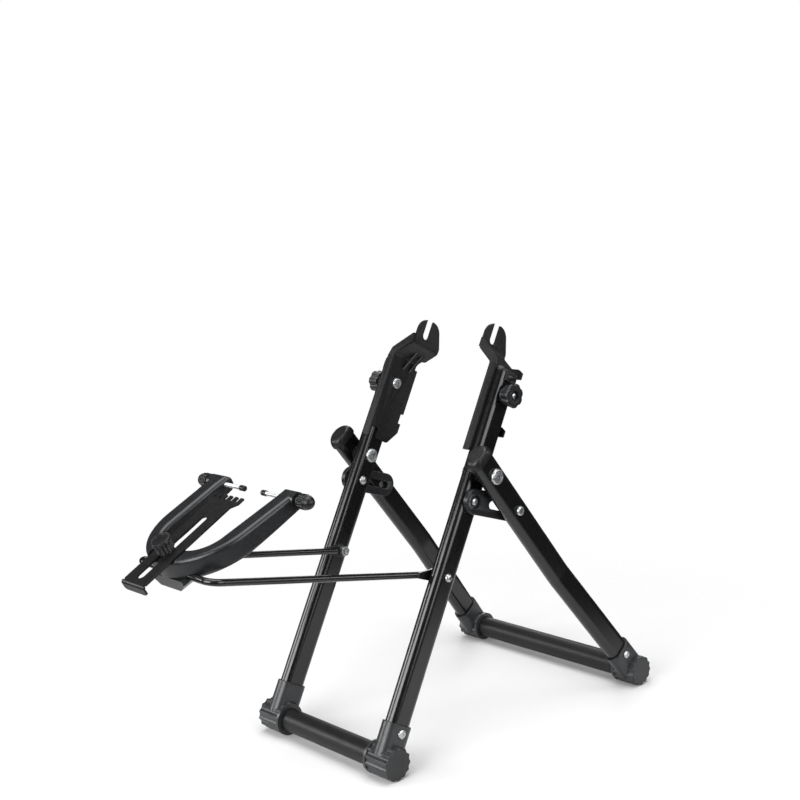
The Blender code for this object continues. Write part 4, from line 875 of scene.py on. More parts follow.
def make_uprights():
    outer, inner = oval_outlines(UPRIGHT_X)
    low = SOCKET_FLOOR + GAP
    rings = [ring(outer, low), ring(outer, UPRIGHT_TOP), ring(inner, UPRIGHT_TOP), ring(inner, low)]
    upright = loft(rings, hollow=True)
    start = UPRIGHT_INNER - TUBE_WALL
    end = UPRIGHT_OUTER + TUBE_WALL
    holes = [
        (KNOB_HEIGHT, CLAMP_BOLT_RADIUS),
        (FOLD_HEIGHT, PIVOT_RADIUS),
        (LINK_HEIGHT, LINK_SCREW_RADIUS),
        (WIRE_HEIGHT, WIRE_BOLT_RADIUS),
    ]
    for height, radius in holes:
        upright = cut(upright, rod(radius + GAP, start, end, centre=(0, height)))
    upright = cut(upright, rod(RIVET_RADIUS + GAP, UPRIGHT_X, end, centre=(0, RIVET_HEIGHT)))
    pair("upright", placed(upright, FRAME_AXIS))

    face = UPRIGHT_OUTER + GAP
    bridge_low = UPRIGHT_TOP + 2 * GAP
    bridge_high = UPRIGHT_TOP + GAP + CAP_WALL
    ear = rounded(
        [
            (UPRIGHT_OUTER - EAR_BRIDGE, bridge_low, 0),
            (face, bridge_low, 0),
            (face, UPRIGHT_TOP - EAR_LENGTH, 0),
            (face + EAR_THICKNESS, UPRIGHT_TOP - EAR_LENGTH, EAR_ROUNDING),
            (face + EAR_THICKNESS, bridge_high, EAR_TOP_ROUNDING),
            (UPRIGHT_OUTER - EAR_BRIDGE, bridge_high, 0),
        ]
    )
    base = UPRIGHT_TOP + GAP
    cap = end_cap(UPRIGHT_X, UPRIGHT_TOP, base, base + CAP_WALL + CAP_DOME, CAP_DOME, UPRIGHT_CAP_NOSE)
    cap = join(cap, prism([ear], -EAR_HALF_WIDTH, EAR_HALF_WIDTH, ALONG_Y))
    bump = ball((EAR_BUMP, EAR_HALF_WIDTH, EAR_LENGTH / 2), (face, 0, UPRIGHT_TOP - EAR_LENGTH / 2))
    room = box((face, -EAR_LENGTH, UPRIGHT_TOP - EAR_LENGTH), (LEG_OUTER, EAR_LENGTH, NECK_HEIGHT))
    cap = join(cap, keep_inside(bump, room))
    pair("upright_cap", placed(cap, FRAME_AXIS))


def make_bar(name, half_length, axis):
    outlines = [circle(BAR_RADIUS, 72), circle(BAR_RADIUS - BAR_WALL, 72)]
    piece(name, placed(prism(outlines, -half_length, half_length, ALONG_X), axis))


def make_foot(name, x, outer_reach, tilt, splay, rivet_head, axis):
    """A moulded foot: a fluted barrel round the bar's end and a socket sleeve round the tube."""
    inner = x - FOOT_INNER_REACH
    outer = x + outer_reach
    straight_down = math.atan2(-math.cos(tilt), -math.sin(tilt))
    flutes = wavy(FOOT_RADIUS, FLUTE_DEPTH, FLUTES, 12, straight_down, FLUTE_SHARPNESS)
    foot = prism([flutes], inner, outer, ALONG_X, edge=FOOT_EDGE)
    fit = GAP + SLEEVE_WALL
    foot = join(foot, rod(FOOT_RADIUS, inner - COLLAR_LENGTH / 2, inner + COLLAR_LENGTH / 2, 72))
    sleeve = prism([grown_oval(x, fit)], SLEEVE_LOW, SLEEVE_TOP, edge=SLEEVE_EDGE)
    foot = join(foot, splayed(sleeve, x, splay))
    web_foot = inner - COLLAR_LENGTH / 2 + GUSSET_BITE
    web = [
        (web_foot, BAR_RADIUS / 2),
        (web_foot, FOOT_RADIUS),
        (x - TUBE_DEPTH / 2, GUSSET_TOP),
        (x, BAR_RADIUS / 2),
    ]
    foot = join(foot, prism([web], -GUSSET_WIDTH / 2, GUSSET_WIDTH / 2, ALONG_Y, GUSSET_EDGE, 5))
    foot = cut(foot, rod(BAR_RADIUS + GAP, inner - FOOT_RADIUS, outer - FOOT_END_WALL, 72))
    socket = prism([grown_oval(x, GAP)], SOCKET_FLOOR, 2 * SLEEVE_TOP)
    foot = cut(foot, splayed(socket, x, splay))
    hole = rod(RIVET_RADIUS + GAP, x, x + TUBE_DEPTH, centre=(0, RIVET_HEIGHT))
    foot = cut(foot, splayed(hole, x, splay))
    pair(name, placed(foot, axis), MOULD_EDGE)

    seat = x + TUBE_DEPTH / 2 + fit + GAP
    head = pitted(dome(seat, rivet_head, RIVET_HEAD_HEIGHT), RIVET_PIT, RIVET_HEAD_HEIGHT / 2)
    stem_end = x + TUBE_DEPTH / 2 - 2 * TUBE_WALL
    profile = head + [(seat, RIVET_RADIUS), (stem_end, RIVET_RADIUS), (stem_end, 0)]
    rivet = moved(turned(profile), z=RIVET_HEIGHT)
    pair(name + "_rivet", placed(splayed(rivet, x, splay), axis), SCREW_EDGE)


def make_front_frame():
    make_uprights()
    make_bar("front_bar", UPRIGHT_X + FRONT_FOOT_OUTER_REACH - FOOT_END_WALL - GAP, FRAME_AXIS)
    make_foot("front_foot", UPRIGHT_X, FRONT_FOOT_OUTER_REACH, -LEAN, 0, FRONT_RIVET_HEAD, FRAME_AXIS)


def make_rear_frame():
    foot = Vector((LEG_FOOT_X, -LEG_LENGTH))
    knee = Vector((LEG_X, -LEG_BEND))
    end = foot + (knee - foot).normalized() * (SOCKET_FLOOR + GAP)
    steps = 10
    tube_top = LEG_TOP - LEG_CAP_COVER
    path = rounded([(LEG_X, tube_top, 0), (*knee, LEG_BEND_RADIUS), (*end, 0)], steps)
    turns = [0.0] + [SPLAY * step / steps for step in range(steps + 1)] + [SPLAY]
    outer, inner = [], []
    for (x, z), turn in zip(path, turns):
        across = Vector((math.cos(turn), 0, math.sin(turn)))
        for rings, outline in zip((outer, inner), oval_outlines(0)):
            rings.append([Vector((x, b, z)) + a * across for a, b in outline])
    leg = loft(outer + inner[::-1], hollow=True)
    ends = (LEG_INNER - TUBE_WALL, LEG_OUTER + TUBE_WALL)
    leg = cut(leg, rod(PIVOT_RADIUS + GAP, *ends))
    leg = cut(leg, rod(LEG_SCREW_RADIUS + GAP, *ends, centre=(0, -LEG_SCREW)))
    hole = rod(RIVET_RADIUS + GAP, LEG_FOOT_X, LEG_FOOT_X + TUBE_DEPTH, centre=(0, RIVET_HEIGHT))
    leg = cut(leg, moved(splayed(hole, LEG_FOOT_X, SPLAY), z=-LEG_LENGTH))
    pair("rear_leg", placed(leg, FOLD_AXIS))
    base = LEG_TOP - LEG_CAP_SHOULDER
    lip = LEG_CAP_LIP - LEG_CAP_SHOULDER
    cap = end_cap(LEG_X, tube_top, base, LEG_TOP + LEG_CAP_RISE, LEG_CAP_INSET, LEG_CAP_NOSE, lip)
    pair("rear_leg_cap", placed(cap, FOLD_AXIS), SLIM_EDGE)
    make_bar("rear_bar", LEG_FOOT_X + REAR_FOOT_OUTER_REACH - FOOT_END_WALL - GAP, REAR_BAR_AXIS)
    make_foot(
        "rear_foot", LEG_FOOT_X, REAR_FOOT_OUTER_REACH, LEG_SLOPE, SPLAY, REAR_RIVET_HEAD, REAR_BAR_AXIS
    )
    seat = LEG_OUTER + GAP
    profile = pan(seat, LEG_SCREW_HEAD, LEG_SCREW_HEAD_HEIGHT)
    profile += [(seat, LEG_SCREW_RADIUS), (LEG_INNER, LEG_SCREW_RADIUS), (LEG_INNER, 0)]
    screw = moved(turned(profile), z=-LEG_SCREW)
    screw = hex_socket(screw, seat + LEG_SCREW_HEAD_HEIGHT, -LEG_SCREW)
    pair("leg_screw", placed(screw, FOLD_AXIS), SCREW_EDGE)


def make_fold_pivots():
    outer_seat = LEG_OUTER + GAP
    inner_seat = UPRIGHT_INNER - GAP
    inner_head = facing_inward(pan(inner_seat, PIVOT_INNER_HEAD, PIVOT_HEAD_HEIGHT, True), inner_seat)
    profile = pan(outer_seat, PIVOT_HEAD_RADIUS, PIVOT_HEAD_HEIGHT, True)
    profile += [(outer_seat, PIVOT_RADIUS), (inner_seat, PIVOT_RADIUS)] + inner_head
    bolt = moved(turned(profile), z=FOLD_HEIGHT)
    bolt = hex_socket(bolt, outer_seat + PIVOT_HEAD_HEIGHT, FOLD_HEIGHT, PIVOT_HEX_RADIUS)
    bolt = hex_socket(bolt, inner_seat - PIVOT_HEAD_HEIGHT, FOLD_HEIGHT, PIVOT_HEX_RADIUS)
    pair("pivot_bolt", placed(bolt, FRAME_AXIS), FINE_EDGE)
    outlines = [circle(SPACER_RADIUS), circle(PIVOT_RADIUS + GAP)]
    spacer = prism(outlines, LINK_INNER, LINK_OUTER, ALONG_X)
    pair("pivot_spacer", placed(moved(spacer, z=FOLD_HEIGHT), FRAME_AXIS))


def make_links():
    far_end = (LINK_LENGTH + LINK_OVERRUN - LINK_RADIUS, 0)
    body = capsule((0, 0), far_end, LINK_RADIUS, 32)
    slot_start = (LINK_SLOT_START + LINK_SLOT_WIDTH / 2, 0)
    slot = capsule(slot_start, (LINK_LENGTH, 0), LINK_SLOT_WIDTH / 2)
    link = prism([body], LINK_INNER, LINK_OUTER, ALONG_X, edge=LINK_EDGE)
    link = cut(link, prism([slot], LINK_INNER - MM, LINK_OUTER + MM, ALONG_X))
    link = cut(link, rod(LINK_RECESS_RADIUS, LINK_OUTER - LINK_RECESS_DEPTH, LINK_OUTER + MM))
    link = cut(link, rod(LINK_SCREW_RADIUS + GAP, LINK_INNER - MM, LINK_OUTER))
    pair("stay_link", placed(link, LINK_AXIS), SLIM_EDGE)
    outer_seat = LINK_OUTER - LINK_RECESS_DEPTH + GAP
    inner_seat = UPRIGHT_INNER - GAP
    head = dome(outer_seat, LINK_SCREW_HEAD, LINK_SCREW_HEAD_HEIGHT)
    inner_head = facing_inward(dome(inner_seat, LINK_INNER_HEAD, LINK_SCREW_HEAD_HEIGHT), inner_seat)
    profile = head + [(outer_seat, LINK_SCREW_RADIUS), (inner_seat, LINK_SCREW_RADIUS)] + inner_head
    screw = moved(turned(profile), z=LINK_HEIGHT)
    screw = hex_socket(screw, outer_seat + LINK_SCREW_HEAD_HEIGHT, LINK_HEIGHT)
    pair("link_screw", placed(screw, FRAME_AXIS), SCREW_EDGE)


def dropout_outline():
    """The plate's outline seen along X, in the upright's own axes."""
    front = -(TUBE_WIDTH / 2 + GAP + SHEET)
    top = HUB_HEIGHT + FORK_TOP
    return rounded(
        [
            (front, PLATE_BOTTOM + CORNER_RISE, 0),
            (front + CORNER_DEPTH, PLATE_BOTTOM + CORNER_RISE, PLATE_CORNER),
            (front + CORNER_DEPTH, PLATE_BOTTOM, PLATE_CORNER),
            (TUBE_WIDTH / 2, PLATE_BOTTOM, PLATE_CORNER),
            (PLATE_REAR, PLATE_BOTTOM + PLATE_CHAMFER, PLATE_CORNER),
            (PLATE_REAR, FORK_HEIGHT + SHOULDER_RISE, NECK_CORNER),
            (FORK_RADIUS, top, FORK_RADIUS - GAP / 2),
            (-FORK_RADIUS, top, FORK_RADIUS - GAP / 2),
            (-FORK_RADIUS, FORK_HEIGHT, FORK_ROOT_RADIUS),
            (front, NECK_HEIGHT, NECK_CORNER),
        ]
    )


def make_dropouts():
    """Bent sheet plates on the uprights' inner faces, drawn in to the hub and slotted for its axle."""
    sheet_x = UPRIGHT_INNER - GAP - SHEET / 2
    sheet_face = UPRIGHT_INNER - GAP - SHEET
    front = -(TUBE_WIDTH / 2 + GAP + SHEET)
    top = HUB_HEIGHT + FORK_TOP
    bend = rounded(
        [
            (sheet_x, PLATE_BOTTOM - MM, 0),
            (sheet_x, NECK_HEIGHT, SHEET_BEND),
            (FORK_X, FORK_HEIGHT, SHEET_BEND),
            (FORK_X, top + MM, 0),
        ],
        14,
    )
    plate = prism([thickened(bend, SHEET)], -PLATE_REAR - MM, -front + MM, ALONG_Y)
    plate = keep_inside(plate, prism([dropout_outline()], FORK_X / 2, UPRIGHT_X, ALONG_X))
    flange_edge = UPRIGHT_INNER + FLANGE_DEPTH
    flange = rounded(
        [
            (sheet_face, PLATE_BOTTOM, 0),
            (flange_edge, PLATE_BOTTOM, PLATE_CORNER),
            (flange_edge, NECK_HEIGHT - SHEET, WEB_ROUNDING),
            (flange_edge - WEB_KNEE_INSET, NECK_HEIGHT + WEB_KNEE_RISE, WEB_ROUNDING),
            (FORK_X + WEB_TOP_DEPTH, FORK_HEIGHT + WEB_TOP_RISE, MM),
            (FORK_X, FORK_HEIGHT + WEB_TOP_RISE, 0),
            (FORK_X, FORK_HEIGHT, 0),
            (sheet_x, NECK_HEIGHT, 0),
            (sheet_face, NECK_HEIGHT - SHEET, 0),
        ]
    )
    plate = join(plate, prism([flange], -front - SHEET, -front, ALONG_Y))
    root = PLATE_REAR - TAB_NOTCH
    tab_end = UPRIGHT_INNER + TAB_LENGTH
    for height in TAB_HEIGHTS:
        low = height - TAB_WIDTH / 2
        high = height + TAB_WIDTH / 2
        plate = cut(plate, box((FORK_X, root, low), (UPRIGHT_X, PLATE_REAR + MM, high)))
        tab = rounded(
            [
                (sheet_face, low + GAP, 0),
                (tab_end, low + GAP, MM),
                (tab_end, high - GAP - TAB_CHAMFER_DROP, MM),
                (tab_end - TAB_CHAMFER_LENGTH, high - GAP, MM),
                (sheet_face, high - GAP, 0),
            ]
        )
        plate = join(plate, prism([tab], -root, SHEET - root, ALONG_Y))
    neck = Vector((FORK_X - sheet_x, FORK_HEIGHT - NECK_HEIGHT)).normalized() * RIB_NECK_REACH
    for across in RIB_PLACES:
        start = (sheet_x + SHEET / 2 - RIB_RADIUS, across, NECK_HEIGHT - RIB_REACH)
        end = (sheet_x + neck.x, across, NECK_HEIGHT + neck.y)
        plate = join(plate, bar_between(start, end, RIB_RADIUS))
    slot = capsule((0, HUB_HEIGHT), (0, top + FORK_RADIUS), AXLE_SLOT_WIDTH / 2)
    plate = cut(plate, prism([slot], FORK_X / 2, sheet_x, ALONG_X))
    plate = cut(plate, rod(CLAMP_BOLT_RADIUS + GAP, FORK_X, UPRIGHT_X, centre=(0, KNOB_HEIGHT)))
    pair("dropout_plate", placed(plate, FRAME_AXIS))

    seat = UPRIGHT_INNER - 2 * GAP - SHEET
    bolt_end = KNOB_SEAT + STAR_NECK_LENGTH + STAR_THICKNESS - CLAMP_BOLT_CHAMFER
    profile = dome(bolt_end - CLAMP_BOLT_DOME, CLAMP_BOLT_RADIUS, CLAMP_BOLT_DOME)
    profile.append((seat, CLAMP_BOLT_RADIUS))
    profile += facing_inward(pan(seat, CLAMP_HEAD_RADIUS, CLAMP_HEAD_HEIGHT), seat)
    bolt = moved(turned(profile), z=KNOB_HEIGHT)
    bolt = hex_socket(bolt, seat - CLAMP_HEAD_HEIGHT, KNOB_HEIGHT, CLAMP_HEX_RADIUS)
    pair("clamp_bolt", placed(bolt, FRAME_AXIS), SCREW_EDGE)


def make_star_knobs():
    start = KNOB_SEAT + STAR_NECK_LENGTH
    outer = start + STAR_THICKNESS
    back = STAR_RADIUS - STAR_TAPER - STAR_EDGE
    front = STAR_RADIUS - STAR_EDGE
    turns = [math.radians(angle) for angle in range(0, 91, 15)]
    sections = [(start + STAR_EDGE * (1 - math.cos(a)), back + STAR_EDGE * math.sin(a)) for a in turns]
    sections += [(outer - STAR_EDGE * (1 - math.sin(a)), front + STAR_EDGE * math.cos(a)) for a in turns]
    rings = []
    for along, radius in sections:
        lobes = wavy(radius, STAR_LOBE_DEPTH, STAR_LOBES, 16, math.radians(90), STAR_SHARPNESS)
        rings.append(ring(lobes, along))
    knob = placed(loft(rings), ALONG_X)
    knob = join(knob, rod(STAR_NECK_RADIUS, KNOB_SEAT, start + MM))
    knob = cut(knob, rod(STAR_RECESS_RADIUS, outer - STAR_RECESS_DEPTH, outer + MM))
    knob = cut(knob, rod(CLAMP_BOLT_RADIUS + GAP, KNOB_SEAT - MM, outer))
    pair("star_knob", placed(knob, KNOB_AXIS), KNOB_EDGE)


def make_wire_arm():
    corners = [
        (-WIRE_X, -WIRE_START, 0),
        (-WIRE_FRONT_X, -WIRE_REACH, WIRE_BEND_RADIUS),
        (WIRE_FRONT_X, -WIRE_REACH, WIRE_BEND_RADIUS),
        (WIRE_X, -WIRE_START, 0),
    ]
    curve = bpy.data.curves.new("wire_arm", "CURVE")
    curve.dimensions = "3D"
    curve.bevel_depth = WIRE_RADIUS
    curve.bevel_resolution = 8
    curve.use_fill_caps = True
    points = rounded(corners, 18)
    spline = curve.splines.new("POLY")
    spline.points.add(len(points) - 1)
    for point, (a, b) in zip(spline.points, points):
        point.co = (a, b, 0, 1)
    wire = curve_to_mesh(curve)
    eye_outer = UPRIGHT_INNER - GAP
    eye = arc((0, 0), EYE_RADIUS, -EYE_SWEEP, EYE_SWEEP, 30)
    eye += [(-EYE_LENGTH, EYE_ROOT), (-EYE_LENGTH, -EYE_ROOT)]
    for low, high in ((eye_outer - EYE_THICKNESS, eye_outer), (-eye_outer, EYE_THICKNESS - eye_outer)):
        wire = join(wire, prism([eye], low, high, ALONG_X, edge=EYE_EDGE))
    wire = cut(wire, rod(WIRE_BOLT_RADIUS + GAP, -UPRIGHT_X, UPRIGHT_X))
    piece("wire_arm", placed(wire, WIRE_AXIS), FINE_EDGE)

    seat = UPRIGHT_OUTER + GAP
    nut_outer = eye_outer - EYE_THICKNESS - GAP
    tail = nut_outer - NUT_HEIGHT - WIRE_BOLT_TAIL
    profile = dome(seat, WIRE_BOLT_HEAD, WIRE_BOLT_HEAD_HEIGHT)
    profile += [(seat, WIRE_BOLT_RADIUS), (tail, WIRE_BOLT_RADIUS), (tail, 0)]
    bolt = moved(turned(profile), z=WIRE_HEIGHT)
    bolt = hex_socket(bolt, seat + WIRE_BOLT_HEAD_HEIGHT, WIRE_HEIGHT)
    pair("wire_bolt", placed(bolt, FRAME_AXIS), SCREW_EDGE)
    nut = rod(NUT_FLATS / math.sqrt(3), nut_outer - NUT_HEIGHT, nut_outer, 6, centre=(0, WIRE_HEIGHT))
    ends = (nut_outer - 2 * NUT_HEIGHT, nut_outer + MM)
    nut = cut(nut, rod(WIRE_BOLT_RADIUS + GAP, *ends, centre=(0, WIRE_HEIGHT)))
    pair("wire_nut", placed(nut, FRAME_AXIS))


def make_yoke():
    """The horseshoe: an outline in X and reach, kept inside a side profile of reach and height."""
    bottom = YOKE_TOP - YOKE_DEPTH
    bow = YOKE_OUTER_X - YOKE_FLARE
    outline = arc((0, YOKE_OUTER_BACK + bow), bow, 180, 360, 72)
    corner = YOKE_INNER_X - YOKE_FLARE - YOKE_CORNER_RADIUS
    inner_back = YOKE_INNER_BACK + YOKE_CORNER_RADIUS
    flare_end = FEELER_REACH - FEELER_BOSS_RADIUS  # past it the inner faces run straight, clear of the tips
    outline += [(YOKE_OUTER_X, YOKE_REACH + MM), (YOKE_INNER_X, YOKE_REACH + MM), (YOKE_INNER_X, flare_end)]
    outline += arc((corner, inner_back), YOKE_CORNER_RADIUS, 0, -90, 24)
    outline += arc((-corner, inner_back), YOKE_CORNER_RADIUS, -90, -180, 24)
    outline += [(-YOKE_INNER_X, flare_end), (-YOKE_INNER_X, YOKE_REACH + MM)]
    outline.append((-YOKE_OUTER_X, YOKE_REACH + MM))
    yoke = prism([outline], bottom, YOKE_TOP, edge=YOKE_EDGE, edge_steps=5)
    side = rounded(
        [
            (YOKE_OUTER_BACK - MM, bottom - MM, 0),
            (YOKE_TAPER_START, bottom - MM, 0),
            (YOKE_REACH, YOKE_TOP - YOKE_END_DEPTH, YOKE_END_DEPTH / 2 - MM),
            (YOKE_REACH, YOKE_TOP, YOKE_END_DEPTH / 2 - MM),
            (YOKE_OUTER_BACK - MM, YOKE_TOP + MM, 0),
        ],
        20,
    )
    yoke = keep_inside(yoke, prism([side], -2 * YOKE_OUTER_X, 2 * YOKE_OUTER_X, ALONG_X))
    block_low = bottom - CLAMP_DEPTH
    block = rounded(
        [
            (-CLAMP_TOP_HALF_WIDTH, bottom + CLAMP_BITE, 0),
            (-CLAMP_TOP_HALF_WIDTH, bottom - CLAMP_SHOULDER, CLAMP_SHOULDER),
            (-CLAMP_HALF_WIDTH, block_low, CLAMP_ROUNDING),
            (CLAMP_HALF_WIDTH, block_low, CLAMP_ROUNDING),
            (CLAMP_TOP_HALF_WIDTH, bottom - CLAMP_SHOULDER, CLAMP_SHOULDER),
            (CLAMP_TOP_HALF_WIDTH, bottom + CLAMP_BITE, 0),
        ]
    )
    yoke = join(yoke, prism([block], -CLAMP_FRONT, -CLAMP_BACK, ALONG_Y))
    channel_low = (-CHANNEL_HALF_WIDTH, -2 * YOKE_OUTER_X, -GAP)
    channel_high = (CHANNEL_HALF_WIDTH, YOKE_OUTER_X, 2 * YOKE_DEPTH)
    to_yoke = YOKE_AXIS.inverted()
    yoke = cut(yoke, placed(box(channel_low, channel_high), to_yoke @ GAUGE_SEAT))
    yoke = cut(yoke, rod(WIRE_RADIUS + GAP, -2 * YOKE_OUTER_X, 2 * YOKE_OUTER_X))
    screw_line = (FEELER_REACH, YOKE_TOP - FEELER_DROP)
    boss_root = YOKE_OUTER_X - 2 * YOKE_EDGE
    boss_face = YOKE_OUTER_X + FEELER_BOSS_HEIGHT
    yoke = join(yoke, rod(FEELER_BOSS_RADIUS, boss_root, boss_face, centre=screw_line))
    yoke = join(yoke, rod(FEELER_BOSS_RADIUS, -boss_face, -boss_root, centre=screw_line))
    yoke = cut(yoke, rod(FEELER_RADIUS + GAP, -2 * YOKE_OUTER_X, 2 * YOKE_OUTER_X, centre=screw_line))
    stud_hole = rod(THUMB_STUD_RADIUS + GAP, -THUMB_STUD_DEPTH - GAP, YOKE_DEPTH, way=ALONG_Z)
    yoke = cut(yoke, placed(stud_hole, to_yoke @ THUMB_AXIS))
    piece("yoke", placed(yoke, YOKE_AXIS), MOULD_EDGE)


def make_feelers():
    tip_end = FEELER_TIP_X + FEELER_TIP_LENGTH
    rod_low = FEELER_TIP_X + 2 * MM
    rod_high = CAP_INNER_X + CAP_LENGTH / 2
    bore = FEELER_RADIUS + GAP
    screw = threaded(FEELER_RADIUS, rod_low + GAP, rod_high - GAP, FEELER_PITCH)
    pair("feeler_screw", placed(screw, FEELER_AXIS), 0)
    tip = [(rod_low, 0), (rod_low, bore), (tip_end, bore), (tip_end, FEELER_TIP_RADIUS)]
    for step in range(9):
        angle = math.radians(90 * step / 8)
        along = FEELER_TIP_X + MM - MM * math.sin(angle)
        tip.append((along, FEELER_TIP_RADIUS - MM + MM * math.cos(angle)))
    tip.append((FEELER_TIP_X, 0))
    pair("feeler_tip", placed(turned(tip), FEELER_AXIS), FINE_EDGE)
    dome_start = CAP_INNER_X + CAP_LENGTH - CAP_DOME_LENGTH
    skin = CAP_RADIUS - CAP_RIB_DEPTH
    profile = dome(dome_start, skin, CAP_DOME_LENGTH, 16)
    profile += [(CAP_INNER_X, skin), (CAP_INNER_X, bore), (rod_high, bore), (rod_high, 0)]
    ribs = wavy(CAP_RADIUS, CAP_RIB_DEPTH, CAP_RIBS, 10)
    hollow = circle((bore + skin) / 2)
    grip = prism([ribs, hollow], CAP_INNER_X + MM, dome_start - GAP, ALONG_X, CAP_RIB_ROUNDING, 2)
    cap = join(turned(profile), grip)
    pair("feeler_cap", placed(cap, FEELER_AXIS), FEELER_CAP_EDGE)


def make_gauge():
    """The comb gauge: a slotted slide with a turned-down tab outside and teeth inside."""
    sheet_height = GAUGE_THICKNESS / 2
    bend = rounded(
        [
            (sheet_height - GAUGE_BACK, -GAUGE_TAB - MM, 0),
            (sheet_height - GAUGE_BACK, sheet_height, GAUGE_BEND),
            (GAUGE_FRONT + MM, sheet_height, 0),
        ],
        14,
    )
    reach = 2 * COMB_HALF_WIDTH
    gauge = prism([thickened(bend, GAUGE_THICKNESS)], -reach, reach, ALONG_X)
    comb_root = GAUGE_FRONT - COMB_TOOTH_LENGTH
    bend_end = TAB_BEND - GAUGE_BACK
    right_side = [
        (GAUGE_TAB_HALF_WIDTH, -GAUGE_BACK - MM),
        (GAUGE_TAB_HALF_WIDTH, bend_end),
        (GAUGE_HALF_WIDTH - RELIEF, bend_end),
        (GAUGE_HALF_WIDTH - RELIEF, bend_end + RELIEF),
        (GAUGE_HALF_WIDTH, bend_end + RELIEF),
        (GAUGE_HALF_WIDTH, COMB_FLARE),
        (COMB_HALF_WIDTH, comb_root - COMB_SHOULDER),
    ]
    pitch = 2 * COMB_HALF_WIDTH / (2 * COMB_TEETH - 1)
    teeth = []
    for index in range(COMB_TEETH):
        edge = COMB_HALF_WIDTH - 2 * index * pitch
        teeth += [(edge, comb_root), (edge, GAUGE_FRONT)]
        teeth += [(edge - pitch, GAUGE_FRONT), (edge - pitch, comb_root)]
    left_side = [(-x, y) for x, y in reversed(right_side)]
    slot = capsule(
        (0, -GAUGE_SLOT_BACK + GAUGE_SLOT_WIDTH / 2),
        (0, GAUGE_SLOT_FRONT - GAUGE_SLOT_WIDTH / 2),
        GAUGE_SLOT_WIDTH / 2,
    )
    gauge = keep_inside(gauge, prism([right_side + teeth + left_side, slot], -2 * GAUGE_TAB, GAUGE_TAB))
    front_view = rounded(
        [
            (-reach - MM, GAUGE_THICKNESS + MM, 0),
            (-reach - MM, -MM, 0),
            (-GAUGE_TAB_HALF_WIDTH - MM, -MM, 0),
            (-GAUGE_TAB_HALF_WIDTH - MM, -GAUGE_TAB, GAUGE_TAB_ROUNDING),
            (GAUGE_TAB_HALF_WIDTH + MM, -GAUGE_TAB, GAUGE_TAB_ROUNDING),
            (GAUGE_TAB_HALF_WIDTH + MM, -MM, 0),
            (reach + MM, -MM, 0),
            (reach + MM, GAUGE_THICKNESS + MM, 0),
        ]
    )
    gauge = keep_inside(gauge, prism([front_view], -GAUGE_FRONT - 2 * MM, GAUGE_BACK + 2 * MM, ALONG_Y))
    piece("comb_gauge", placed(gauge, GAUGE_SEAT), SLIM_EDGE)


def make_thumb_screw():
    seat = GAUGE_THICKNESS + GAP
    crown = seat + THUMB_HEIGHT
    bore = THUMB_STUD_RADIUS + GAP
    bore_top = seat + THUMB_HEIGHT / 2
    disc = crown - THUMB_DISC
    skirt = THUMB_SKIRT_RADIUS - THUMB_RIB_DEPTH
    rim_middle = THUMB_RADIUS - THUMB_RIM
    dish_edge = rim_middle - THUMB_RIM
    profile = [(crown - THUMB_DISH + THUMB_DISH_CROWN, 0)]
    for step in range(1, 9):
        share = step / 8
        profile.append((crown - THUMB_DISH + THUMB_DISH_CROWN * (1 - share**2), dish_edge * share))
    for step in range(1, 9):
        angle = math.radians(180 - 22.5 * step)
        rise = THUMB_RIM * math.sin(angle)
        profile.append((crown - THUMB_RIM + rise, rim_middle + THUMB_RIM * math.cos(angle)))
    profile += [
        (disc, THUMB_RADIUS),
        (disc - MM, skirt),
        (seat + THUMB_COLLAR, skirt),
        (seat, THUMB_COLLAR_RADIUS),
        (seat, bore),
        (bore_top, bore),
        (bore_top, 0),
    ]
    ribs = wavy(THUMB_SKIRT_RADIUS, THUMB_RIB_DEPTH, THUMB_RIBS, 12, sharpness=THUMB_RIB_SHARPNESS)
    hollow = circle((bore + skirt) / 2)
    knob = turned(profile, way=ALONG_Z)
    knob = join(knob, prism([ribs, hollow], seat + THUMB_COLLAR + GAP, disc - MM / 2))
    piece("thumb_knob", placed(knob, THUMB_AXIS), SLIM_EDGE)
    stud = rod(THUMB_STUD_RADIUS, -THUMB_STUD_DEPTH, bore_top - GAP, way=ALONG_Z)
    piece("thumb_stud", placed(stud, THUMB_AXIS))


def make_camera():
    """A tripod that circles the hub by azimuth and elevation, then pans, tilts and rolls."""
    level = math.cos(CAMERA_ELEVATION)
    away = Vector(
        (
            level * math.cos(CAMERA_AZIMUTH),
            -level * math.sin(CAMERA_AZIMUTH),
            math.sin(CAMERA_ELEVATION),
        )
    )
    forward = -away
    right = forward.cross(Vector((0, 0, 1))).normalized()
    up = right.cross(forward)
    turn = Matrix.Rotation(CAMERA_PAN, 3, up)
    forward = turn @ forward
    right = turn @ right
    turn = Matrix.Rotation(CAMERA_TILT, 3, right)
    forward = turn @ forward
    up = turn @ up
    turn = Matrix.Rotation(CAMERA_ROLL, 3, forward)
    right = turn @ right
    up = turn @ up
    data = bpy.data.cameras.new("camera")
    data.lens = CAMERA_LENS
    data.sensor_width = CAMERA_SENSOR
    camera = linked("camera", data)
    rotation = Matrix((right, up, -forward)).transposed().to_4x4()
    camera.matrix_world = Matrix.Translation(on_upright(HUB_HEIGHT) + CAMERA_DISTANCE * away) @ rotation
    bpy.context.scene.camera = camera


def softbox(name, location, target, width, height, power):
    data = bpy.data.lights.new(name, "AREA")
    data.shape = "RECTANGLE"
    data.size = width
    data.size_y = height
    data.energy = power
    light = linked(name, data)
    way = Vector(target) - Vector(location)
    light.matrix_world = Matrix.Translation(location) @ way.to_track_quat("-Z", "Y").to_matrix().to_4x4()


